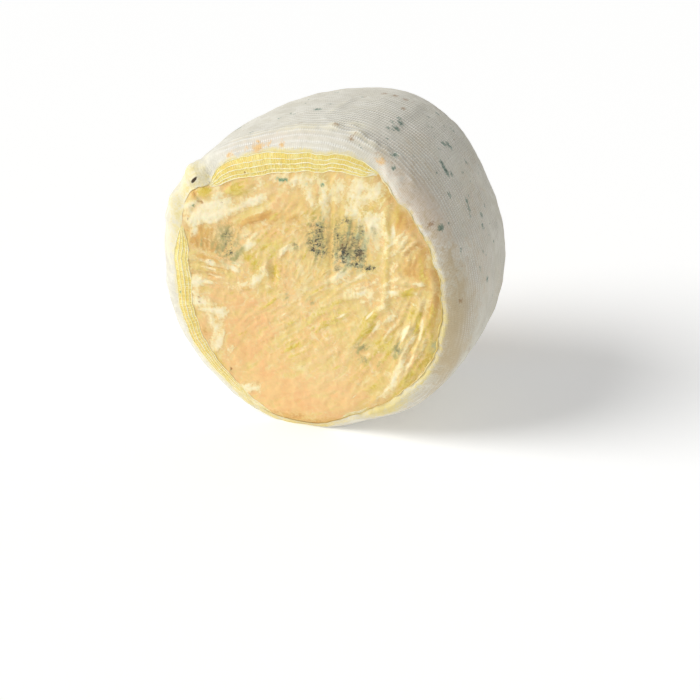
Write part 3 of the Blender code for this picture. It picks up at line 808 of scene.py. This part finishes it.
def makeCheese():
    stops = (-flatRadius, 0, frontArc, frontArc + sideLength, backFaceRun, backFaceRun + backFlatRadius)
    runs = [-flatRadius]
    for start, end, steps in zip(stops, stops[1:], wheel["rings"]):
        runs.extend(np.linspace(start, end, steps + 1)[1:])
    made = spunFrom([(float(section(run)[0]), run) for run in runs], wheel["segments"], closed=False)
    places, angle = cornersOf(made)
    run = places[:, 1]
    spot = rindAt(angle, run)
    values = rindValues(angle, run, spot)
    under = values["under"]
    crust = 0.16 * eased((values["cream"] + 0.35 * spot["rough"] - 0.4) / 0.2)
    crust = crust + (0.2 * (values["streak"] - 0.5) + 0.35 * (values["smear"] - 0.5))
    moveCorners(made, place(angle, run, 0, spot["relief"] * (1 - 0.6 * under) + crust * (1 - under)))
    piece = finishPiece(made, "cheese", rindPaint(), values)
    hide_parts("cheese_wheel")
    return piece


# mould on the cloth: angle, distance behind the front, half length along the ribs, half width, strength
flecks = {
    "blue": [
        (93, 22.5, 1.2, 1, 0.9), (91, 30, 1.2, 0.7, 0.6), (66.5, 36, 0.8, 0.9, 0.8), (65, 33.5, 1, 1, 1),
        (64.5, 28, 1.2, 0.8, 1), (66.5, 25, 0.8, 0.6, 0.8), (67, 30.5, 0.8, 0.6, 0.7),
        (49, 43.5, 1.6, 0.7, 1), (50.5, 41, 1.2, 0.7, 0.9), (46, 29, 1.4, 0.6, 1),
        (43.5, 28, 1.8, 0.8, 1.1), (41, 30, 1, 0.5, 0.8), (40.5, 47, 1.2, 0.8, 0.7),
        (36.5, 19.5, 1.2, 0.9, 0.7), (58.5, 11.5, 1, 0.9, 0.9), (30.5, 28.5, 1.4, 0.5, 0.8),
        (28, 27.5, 1.2, 0.7, 0.8), (22.5, 36.5, 1, 0.9, 0.9), (19, 34, 1.2, 0.7, 0.8),
        (24, 43, 1, 0.7, 0.6), (1.5, 29.5, 0.9, 0.9, 0.9), (8, 22.5, 1.4, 0.6, 0.5), (30, 4.6, 1, 0.7, 1.1),
        (39, 38, 1.2, 0.5, 0.6), (54, 18, 0.8, 0.5, 0.5), (113, 6, 1.2, 0.6, 0.6), (102, 19, 1.4, 0.6, 0.6),
        (84, 46, 1, 0.8, 0.6), (142, 53, 1.2, 1, 0.6), (104, 40, 1.6, 0.6, 0.5), (97, 50, 1.4, 0.6, 0.6),
        (60, 62, 1.4, 0.6, 0.6), (52, 58, 1.2, 0.6, 0.7), (35, 56, 1.4, 0.6, 0.6), (14, 50, 1.2, 0.6, 0.5),
        (-8, 40, 1, 0.6, 0.5), (-3, 58, 1, 0.8, 0.5),
    ],
    "brown": [
        (72, 57, 0.6, 1.2, 0.7), (68.5, 57, 0.5, 1.4, 0.7), (76, 56, 0.6, 1, 0.5), (63, 55, 0.8, 0.8, 0.5),
        (83.5, 46, 0.5, 1, 0.8), (68.5, 46.6, 0.7, 0.9, 1.1), (80.5, 11.2, 0.9, 0.7, 1),
        (73, 9.2, 0.9, 0.6, 1), (72.5, 11, 0.7, 0.6, 0.8), (63, 9, 1.6, 0.7, 0.6), (33, 2.8, 0.7, 0.6, 1.2),
        (3, 5.2, 0.7, 0.6, 1.2), (57, 8, 0.6, 0.6, 0.5), (74, 16, 0.4, 1, 0.6), (92, 37.5, 0.6, 1.6, 0.5),
        (76.5, 15, 0.8, 0.4, 0.6), (20, 30, 0.4, 0.3, 0.9), (75, 56.5, 1, 1.3, 1), (79, 55, 1, 1.3, 0.9),
        (71, 57, 0.9, 1.4, 1), (34, 14, 0.3, 0.3, 1), (147, 40, 0.8, 1.2, 0.7),
    ],
}


# strength of the flecks; where the outline bulges they sit further forward, which fleckLean says
def fleckField(angle, along, spots):
    total = np.zeros_like(angle)
    for at, shown, half, width, strength in spots:
        behind = shown - cloth["fleckLean"] * outlinePush(at, shown)
        across = np.radians(turned(angle, at)) * wheel["middleRadius"]
        near = (np.abs(across) < 9) & (np.abs(along - behind) < 7)
        away = np.hypot(across[near] / half, (along[near] - behind) / (width + 0.25)) / cloth["fleckSize"]
        total[near] = np.maximum(total[near], strength * (1.9 - away) / 1.9)
    return total


def scatteredFlecks(count, lowAngle, highAngle, size=1.0):
    found = []
    for number in range(count):
        angle = random.uniform(lowAngle, highAngle)
        behind = random.uniform(6, 68)
        for member in range(random.choice((1, 1, 2, 3))):
            angle += random.uniform(-2, 2)
            behind += random.uniform(-2.5, 2.5)
            half = random.uniform(0.5, 1.5) * size
            found.append((angle, behind, half, random.uniform(0.4, 0.9) * size, random.uniform(0.4, 1)))
    return found


# stains on the cloth, some of them partly painted light and shade as said below: angle, run, half widths in
# degrees and millimetres, strength
clothTints = {
    # tan: a stain, and on the right and lower right of the band near the front also painted shade
    "tan": [
        (48, 16, 9, 9, 0.35), (36, 8, 24, 7, 0.2), (16, 8, 16, 6, 0.3), (-10, 10, 18, 9, 0.6),
        (56, 30, 5, 12, 0.4), (28, 44, 7, 12, 0.4), (41, 60, 6, 10, 0.4), (62, 12, 4, 3, 0.5),
        (70, 20, 3, 6, 0.3), (100, 62, 10, 8, 0.3), (-28, 12, 14, 6, 0.5), (-50, 20, 12, 14, 0.4),
        (188, 40, 12, 12, 0.4), (222, 24, 10, 10, 0.5), (250, 50, 14, 14, 0.4), (290, 30, 14, 14, 0.5),
        (-12, 56, 12, 12, 0.4), (26, 30, 34, 30, 0.3), (-4, 20, 24, 14, 0.35), (-8, 10, 18, 8, 0.7),
    ],
    # pale: whiter cloth, and on the knob and the crumples also painted light over their shaded sides
    "pale": [
        (81, 14, 2.6, 3, 0.9), (72, 12.6, 3, 3, 0.9), (76, 19, 5, 3, 0.6), (92, 12, 9, 3, 0.7),
        (112, 12, 9, 3, 0.5), (137, 6.4, 6, 5, 1), (87, 34, 1.6, 14, 0.4), (66, 11, 3, 2, 0.6),
        (170, 8, 14, 8, 0.6), (200, 14, 12, 8, 0.5), (150, 6, 16, 9, 0.8),
    ],
    "hole": [
        (108.6, 6.9, 3, 2, 1), (117.5, 7.4, 2.6, 1.6, 0.5), (113.4, 7.4, 1.2, 1, 0.5),
        (103.4, 7.8, 1.8, 1.4, 0.5), (98, 6.6, 2.4, 1.6, 0.6), (121.4, 7.2, 1.4, 1.1, 0.5),
        (92, 7.6, 1.2, 0.8, 0.4), (60.6, 8.4, 2.2, 1.2, 0.6), (100.6, 10.4, 1, 0.8, 0.35),
        (106.6, 10.8, 1, 0.8, 0.35), (87, 8, 1, 0.8, 0.3),
    ],
    # blush: a pinkish tint, and on the right of the band also a painted warm reflection from below
    "blush": [
        (104, 9, 22, 3.5, 0.6), (42, 10, 14, 6, 0.8), (40, 14, 24, 5, 0.35), (60, 30, 26, 20, 0.3),
        (5, 30, 24, 20, 0.35), (34, 9, 20, 5, 0.5),
    ],
    # yellow soaked in along the edges, with distances from the edge in place of runs
    "stain": [
        (96, 0, 34, 1.5, 0.9), (137, 4, 6, 5, 0.45), (151, 1.5, 12, 4.5, 0.55), (163, 0, 7, 3.4, 0.6),
        (186, 0.2, 16, 1.6, 0.5), (215, 0.5, 16, 1.6, 0.5), (20, 0.3, 24, 1, 0.7), (-8, 0.8, 12, 1.2, 0.6),
        (-30, 0.6, 12, 1.6, 0.7), (-52, 1.4, 14, 3.4, 0.9), (-90, 0.8, 20, 1.2, 0.9),
        (-116, 0.8, 14, 1.4, 0.7),
    ],
}


def clothTintOf(angle, run, spots):
    bare = np.ones_like(angle)
    for at, atRun, halfAngle, halfRun, strength in spots:
        away = np.hypot(turned(angle, at) / halfAngle, (run - atRun) / halfRun)
        bare *= 1 - np.minimum(strength * bell(away, 0.75), 1)
    return 1 - bare


gauzeColours = {
    "white": shade(238, 235, 221),
    "grey": shade(222, 217, 199),
    # the thread and groove colours are painted highlight along the rib crests and painted shade in the
    # grooves between them
    "thread": shade(248, 247, 240),
    "grooveShade": shade(214, 207, 192),
    "tan": shade(209, 191, 155),
    "pale": shade(246, 238, 206),
    "blush": shade(232, 216, 200),
    "blue": shade(106, 138, 122),
    "blueDark": shade(56, 78, 68),
    "brown": shade(168, 128, 84),
    "hole": shade(236, 197, 138),
    "stain": shade(234, 217, 146),
    # dark: painted shade in the slit of the knot, which is only a shallow dent
    "dark": shade(62, 42, 14),
}


def gauzePaint():
    paint = Paint("gauzeFinish", 0.85, Sheen_Weight=0.15, Sheen_Roughness=0.5)
    c = gauzeColours
    broad = paint.blotches(14, 4, 0.8)
    medium = paint.blotches(4, 5, 0.9)
    fine = paint.blotches(0.7, 3)
    sideways = paint.node("SeparateXYZ", {}, {0: paint.where}, output=0) - wheel["axis"][0] * mm
    height = paint.node("SeparateXYZ", {}, {0: paint.where}, output=2) - wheel["axis"][2] * mm
    beads = (sideways.calc("ARCTAN2", height) * cloth["threadsRound"]).calc("SINE") * 0.5 + 0.5
    weft = (paint.reading("run") * (math.tau / cloth["weftPitch"])).calc("SINE") * 0.5 + 0.5
    rib = (paint.reading("ribTurn").calc("COSINE") * 0.5 + 0.5).calc("POWER", 2.2)
    strength = paint.reading("ribStrength")
    colour = paint.mix((broad * 0.5 + medium * 0.5).rise(0.4, 0.6), c["grey"], c["white"])

    def laid(under, name, over, low=0.15, high=0.95):
        rough = (medium - 0.5) * 1.4 + (fine - 0.5) * 0.84
        mask = paint.reading(name) + rough * paint.reading(name).rise(0, 0.4)
        return paint.mix(mask.rise(low, high), under, over)

    # pinkish blush, partly a painted warm reflection on the right of the band
    colour = laid(colour, "blush", c["blush"], 0.1, 1.1)
    # tan stain, partly painted shade on the right and lower right of the band
    colour = laid(colour, "tan", c["tan"])
    # pale cloth, partly painted light on the knob and the crumples
    colour = laid(colour, "pale", c["pale"])
    # painted shade in the grooves between the ribs, then painted highlight along their crests
    colour = paint.mix((1 - rib) * strength * (0.2 + fine * 0.4), colour, c["grooveShade"])
    colour = paint.mix(rib * strength * (0.25 + beads * 0.6), colour, c["thread"])
    colour = laid(colour, "stain", c["stain"], 0.2, 1.0)
    colour = laid(colour, "hole", c["hole"], 0.25, 0.8)
    blue = paint.reading("blue") + (fine - 0.5) * paint.reading("blue").rise(0, 0.3) * 1.6
    colour = paint.mix(blue.rise(0.3, 0.72) * 0.8, colour, c["blue"])
    colour = paint.mix(blue.rise(0.75, 1.1) * 0.8, colour, c["blueDark"])
    brown = paint.reading("brown") + (fine - 0.5) * paint.reading("brown").rise(0, 0.3) * 1.4
    colour = paint.mix(brown.rise(0.35, 0.9) * 0.7, colour, c["brown"])
    facts = cloth["slit"]
    centre = tuple(float(value) * mm for value in place(facts["angle"], facts["run"], cloth["slitOff"]))
    apart = paint.node("VectorMath", {"operation": "SUBTRACT"}, {0: paint.where, 1: centre})

    def squared(direction, half):
        reach = tuple(value / (half * mm) for value in direction)
        share = paint.node("VectorMath", {"operation": "DOT_PRODUCT"}, {0: apart, 1: reach}, output=1)
        return share * share

    turn = math.radians(facts["tilt"])
    away = squared((math.cos(turn), 0, math.sin(turn)), facts["halfLength"])
    away = away + squared((-math.sin(turn), 0, math.cos(turn)), facts["halfWidth"])
    away = away + squared((0, 1, 0), cloth["slitReach"])
    slit = away.calc("POWER", 0.5) + (fine - 0.5) * 0.6
    # the slit painted dark, as shade in a shallow dent
    colour = paint.mix((1 - slit).rise(-0.25, 0.2), colour, c["dark"])
    paint.feed("Base Color", colour)
    weave = rib * strength * (0.8 + beads) + beads * weft * 0.6 + fine * 0.8 + medium * 1.5
    paint.feed("Normal", paint.bump(weave, 0.13))
    return paint.material


# distance over the cloth from a place on it
def clothAway(angle, run, at, atRun):
    return np.hypot(np.radians(turned(angle, at)) * wheel["frontRadius"], run - atRun)


def clothThickness(angle, run, inside):
    at, spread, extra = cloth["seam"]
    gained = cloth["thickness"] - cloth["edgeThickness"] + extra * bell(turned(angle, at), spread)
    thickness = cloth["edgeThickness"] + gained * eased(inside / 4)
    for at, atRun, half, rise in cloth["lumps"]:
        thickness = thickness + rise * bell(clothAway(angle, run, at, atRun), half * 0.6)
    for at, spread, start, end, rise in cloth["folds"]:
        reach = plateau(run, start, start + 8, end - 8, end)
        thickness = thickness + rise * bell(turned(angle, at), spread) * reach
    at, atRun, half, rise = cloth["knob"]
    away = clothAway(angle, run, at, atRun)
    return thickness + rise * (1 - eased(away / half)) ** 0.6 - 0.5 * bell(away - half * 0.6, 0.5)


def ribStrengthAt(angle, along, inside):
    ringX, ringZ = onRing(angle)
    strength = 0.55 + 0.9 * grain(ringX, along * 2.4, ringZ, 14, 13) + 0.3 * bell(turned(angle, 70), 40)
    # how far from its edge the cloth stays smooth
    bare = 1.6 - 2 * plateau(angle % 360, 58, 66, 118, 130) + 4 * bell(turned(angle, 18), 24)
    bare = bare + 6 * bell(turned(angle, 139), 8)
    return np.clip(strength, 0.1, 1.1) * eased((inside - bare) / (3 + bare))


# thins out to nothing where an open hem or the soft left edge follows, and keeps an edge elsewhere
def edgeShare(angle, inside):
    soft = plateau(angle % 360, 54, 64, 236, 246) * (1 - 0.75 * bell(turned(angle, 139), 6))
    return 0.22 * (1 - soft) + (0.78 + 0.22 * soft) * eased(inside / (1.4 + 4.1 * soft))


def makeGauze():
    # the profile has radius 2 on the cloth's outer side and 1 on its inner side
    outer = [(2, share) for share in np.linspace(0, 1, cloth["rows"] + 1)]
    inner = [(1, share) for share in np.linspace(0, 1, cloth["insideRows"] + 1)[::-1]]
    made = spunFrom(outer + inner, cloth["segments"], closed=True)
    places, angle = cornersOf(made)
    isOuter = np.hypot(places[:, 0], places[:, 2]) > 1.5
    front, back = clothEdges(angle)
    run = front + places[:, 1] * (back - front)
    along = section(run)[1]
    inside = np.minimum(run - front, back - run)
    ringX, ringZ = onRing(angle)
    wander = 1.6 * grain(ringX, along, ringZ, 26, 11) + 0.5 * grain(ringX, along * 1.6, ringZ, 8, 12)
    ribTurn = (run + wander) / cloth["ribPitch"] * math.tau
    strength = ribStrengthAt(angle, along, inside)
    rib = (0.5 + 0.5 * np.cos(ribTurn)) ** 1.5
    pucker = grain(ringX, along, ringZ, 13, 14, 3)
    fuzz = grain(ringX, along, ringZ, 1.8, 15, 2)
    thickness = clothThickness(angle, run, inside)
    thickness = thickness + cloth["ribHeight"] * strength * (rib - 0.5) + 0.3 * pucker + 0.06 * fuzz
    slit = cloth["slit"]
    away = clothAway(angle, run, slit["angle"], slit["run"])
    thickness = thickness - slit["depth"] * bell(away, slit["halfLength"] * 0.7)
    thinnest = cloth["inside"] + 0.05
    grown = thinnest + (cloth["gap"] + thickness - thinnest) * edgeShare(angle, inside)
    off = np.where(isOuter, grown, cloth["inside"])
    relief = np.zeros_like(run)
    nearFace = (run < frontArc) | (run > backFaceRun - backArc)
    relief[nearFace] = rindAt(angle[nearFace], run[nearFace])["relief"]
    moveCorners(made, place(angle, run, off, relief * 0.7))
    values = {"run": run, "ribTurn": ribTurn, "ribStrength": strength}
    for name, scattered in (("blue", (60, 50)), ("brown", (30, 30))):
        spots = scatteredFlecks(scattered[0], 125, 350) + scatteredFlecks(scattered[1], 5, 130, 0.4)
        values[name] = fleckField(angle, along, flecks[name] + spots)
    for name, spots in clothTints.items():
        values[name] = clothTintOf(angle, inside if name == "stain" else run, spots)
    piece = finishPiece(made, "gauze_band", gauzePaint(), values)
    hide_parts("cloth_band")
    return piece


# threads of the open hems and the turned edges of the cloth

threads = {
    "cords": [(0.03, 0.18), (0.30, 0.14), (0.55, 0.17), (0.80, 0.13), (0.98, 0.15)],  # share across, radius
    "crossPitch": 0.8,
    "crossRing": 50,  # radius at which the cross threads are that far apart
    "crossRadius": 0.085,
    "rollRadius": 0.3,
    "lift": 0.05,  # of the cords' middles off the rind
    # where the turned edge is thick: angle, half width in degrees, share
    "thickRoll": [
        (53, 7, 0.6), (20, 26, 0.5), (-10, 10, 0.6), (-30, 18, 0.6), (-60, 14, 0.4), (200, 30, 0.3),
    ],
    # where it is soaked olive instead of pale, and how much of that the hems' threads take
    "oliveRoll": [(22, 28, 1), (-6, 14, 0.8), (-40, 30, 0.7), (-90, 30, 0.9), (-130, 14, 0.5)],
    "hemOlive": 0.1,
}
threadColours = {
    "cord": shade(255, 251, 228),
    "cordSoaked": shade(248, 238, 176),
    "cross": shade(250, 240, 182),
    "crossSoaked": shade(244, 229, 142),
    "roll": shade(244, 240, 222),
    "rollSoaked": shade(236, 224, 170),
    "olive": shade(222, 200, 124),
    "oliveDeep": shade(206, 178, 102),
}


def threadPaint(name, light, soaked):
    paint = Paint(name, 0.8, Sheen_Weight=0.15)
    medium = paint.blotches(3, 3)
    fine = paint.blotches(0.4, 2)
    c = threadColours
    pale = paint.mix(medium.rise(0.35, 0.65), c[light], c[soaked])
    olive = paint.mix(medium.rise(0.4, 0.6), c["olive"], c["oliveDeep"])
    paint.feed("Base Color", paint.mix(paint.reading("olive"), pale, olive))
    paint.feed("Normal", paint.bump(fine, 0.06))
    return paint.material


# a mesh of tubes, each given as its path, its radii and whether it closes to a ring
def tubes(name, paths, sides, material):
    curve = bpy.data.curves.new(name, "CURVE")
    curve.dimensions = "3D"
    curve.bevel_depth = mm
    curve.bevel_resolution = sides
    curve.use_fill_caps = True
    for path, radii, isRing in paths:
        spline = curve.splines.new("POLY")
        spline.points.add(len(path) - 1)
        spline.points.foreach_set("co", np.concatenate([path * mm, np.ones((len(path), 1))], axis=1).ravel())
        spline.points.foreach_set("radius", np.asarray(radii, float))
        spline.use_cyclic_u = isRing
    line = bpy.data.objects.new(name + "Line", curve)
    bpy.context.scene.collection.objects.link(line)
    graph = bpy.context.evaluated_depsgraph_get()
    data = bpy.data.meshes.new_from_object(line.evaluated_get(graph))
    bpy.data.objects.remove(line)
    made = bmesh.new()
    made.from_mesh(data)
    bmesh.ops.remove_doubles(made, verts=made.verts, dist=1e-7)
    places = np.array([corner.co for corner in made.verts]) / mm
    angle = np.degrees(np.arctan2(places[:, 2] - wheel["axis"][2], places[:, 0] - wheel["axis"][0]))
    olive = sum(share * bell(turned(angle, at), half * 0.75) for at, half, share in threads["oliveRoll"])
    share = 1 if name.endswith("roll") else threads["hemOlive"]
    return finishPiece(made, name, material, {"olive": np.minimum(olive, 1) * share})


# run at a share of the way across an open hem
def hemRun(angle, share, side):
    front, back = clothEdges(angle)
    out = share * np.maximum(hemWidth(angle, side), 0.5)
    return front - out if side == "front" else back + out


def makeCords(side, seed):
    angles = np.linspace(0, 360, 360, endpoint=False)
    ringX, ringZ = onRing(angles)
    shown = eased(hemWidth(angles, side) / 2)
    lift = threads["lift"] + 0.2 * (shown - 1)
    cords = []
    for share, radius in threads["cords"]:
        run = hemRun(angles, share, side) + 0.12 * grain(ringX, share * 9, ringZ, 5, seed)
        path = place(angles, run, lift, rindAt(angles, run)["relief"] * 0.5)
        cords.append((path, radius * (0.15 + 0.85 * shown), True))
    return tubes(side + "_hem_cords", cords, 1, threadPaint(side + "CordFinish", "cord", "cordSoaked"))


def makeWeave(side):
    step = math.degrees(threads["crossPitch"] / threads["crossRing"])
    starts = np.array([(number + random.uniform(-0.25, 0.25)) * step for number in range(int(360 / step))])
    kept = np.array([random.random() for start in starts]) > 0.06
    starts = starts[(hemWidth(starts, side) > 1) & kept]
    shares = np.linspace(-0.05, 1.0, 7)
    leans = np.array([random.uniform(-0.5, 0.5) for start in starts])
    angle = starts[:, None] + shares[None, :] * leans[:, None]
    run = hemRun(angle, shares[None, :], side)
    paths = place(angle, run, threads["lift"] * 0.7, rindAt(angle, run)["relief"] * 0.5)
    crossings = []
    for path in paths:
        radius = threads["crossRadius"] * random.uniform(0.7, 1.4)
        crossings.append((path, np.full(len(shares), radius), False))
    material = threadPaint(side + "CrossFinish", "cross", "crossSoaked")
    return tubes(side + "_hem_weave", crossings, 0, material)


def makeEdgeRoll(side):
    angles = np.linspace(0, 360, 480, endpoint=False)
    front, back = clothEdges(angles)
    run = front - 0.05 if side == "front" else back + 0.05
    ringX, ringZ = onRing(angles)
    thick = sum(share * bell(turned(angles, at), half * 0.75) for at, half, share in threads["thickRoll"])
    radius = threads["rollRadius"] * (0.3 + np.minimum(thick, 1))
    radius = radius * (1 + 0.7 * grain(ringX, 0, ringZ, 3, 31))
    if side == "front":
        radius = radius * (1 - 0.93 * plateau(angles, 58, 66, 228, 240))
    path = place(angles, run, 0.1 + radius * 0.5, rindAt(angles, run)["relief"] * 0.7)
    material = threadPaint(side + "RollFinish", "roll", "rollSoaked")
    return tubes(side + "_edge_roll", [(path, radius, True)], 2, material)


print("making the cheese")
cheese = makeCheese()
print("making the gauze")
gauze = makeGauze()
print("making the hems and edges")
hemPieces = [makeCords("front", 21), makeWeave("front"), makeCords("back", 22), makeWeave("back")]
rolls = [makeEdgeRoll("front"), makeEdgeRoll("back")]


# floor, light and camera

stage = {
    "floorSize": 40.0,
    "floorColour": shade(250, 250, 249),
    "floorGlow": 0.2,
    "world": 0.38,
    "key": {"azimuth": -55, "elevation": 39, "strength": 2.35, "softness": 35},
    "elevation": 25.3,
    "azimuth": 21.4,
    "distance": 0.5483,
    "aimRight": 0.0185,  # from the centre of the front face, in metres, as are the distance and the floor
    "aimDown": 0.0202,
    "lens": 79.2,
}


# azimuth 0 is straight in front, and grows towards the right
def towards(azimuth, elevation):
    swing, up = math.radians(azimuth), math.radians(elevation)
    return Vector((math.sin(swing) * math.cos(up), -math.cos(swing) * math.cos(up), math.sin(up)))


def makeFloor():
    made = bmesh.new()
    bmesh.ops.create_grid(made, x_segments=1, y_segments=1, size=stage["floorSize"] / 2)
    data = bpy.data.meshes.new("floor")
    made.to_mesh(data)
    made.free()
    paint = Paint("floorFinish", 0.8, Emission_Color=(1, 1, 1, 1), Emission_Strength=stage["floorGlow"])
    clouds = paint.blotches(300, 2)
    paint.feed("Base Color", paint.mix(clouds * 0.05, stage["floorColour"], shade(242, 242, 242)))
    data.materials.append(paint.material)
    floor = bpy.data.objects.new("floor", data)
    bpy.context.scene.collection.objects.link(floor)


def makeKey():
    facts = stage["key"]
    lamp = bpy.data.lights.new("key", "SUN")
    lamp.energy = facts["strength"]
    lamp.angle = math.radians(facts["softness"])
    holder = bpy.data.objects.new("key", lamp)
    holder.rotation_euler = towards(facts["azimuth"], facts["elevation"]).to_track_quat("Z", "Y").to_euler()
    bpy.context.scene.collection.objects.link(holder)


def makeWorld():
    world = bpy.data.worlds.new("studio")
    world.use_nodes = True
    background = world.node_tree.nodes["Background"]
    background.inputs["Color"].default_value = (1, 1, 1, 1)
    background.inputs["Strength"].default_value = stage["world"]
    bpy.context.scene.world = world


def makeCamera():
    back = towards(stage["azimuth"], stage["elevation"])
    axisX, frontY, axisZ = (value * mm for value in wheel["axis"])
    aim = Vector((axisX + stage["aimRight"], frontY, axisZ - stage["aimDown"]))
    lens = bpy.data.cameras.new("camera")
    lens.lens = stage["lens"]
    lens.sensor_width = 36
    lens.clip_start = 0.01
    camera = bpy.data.objects.new("camera", lens)
    camera.location = aim + back * stage["distance"]
    camera.rotation_euler = back.to_track_quat("Z", "Y").to_euler()
    bpy.context.scene.collection.objects.link(camera)
    bpy.context.scene.camera = camera


print("setting the stage")
makeFloor()
makeKey()
makeWorld()
makeCamera()
bpy.context.scene.view_settings.view_transform = "Standard"
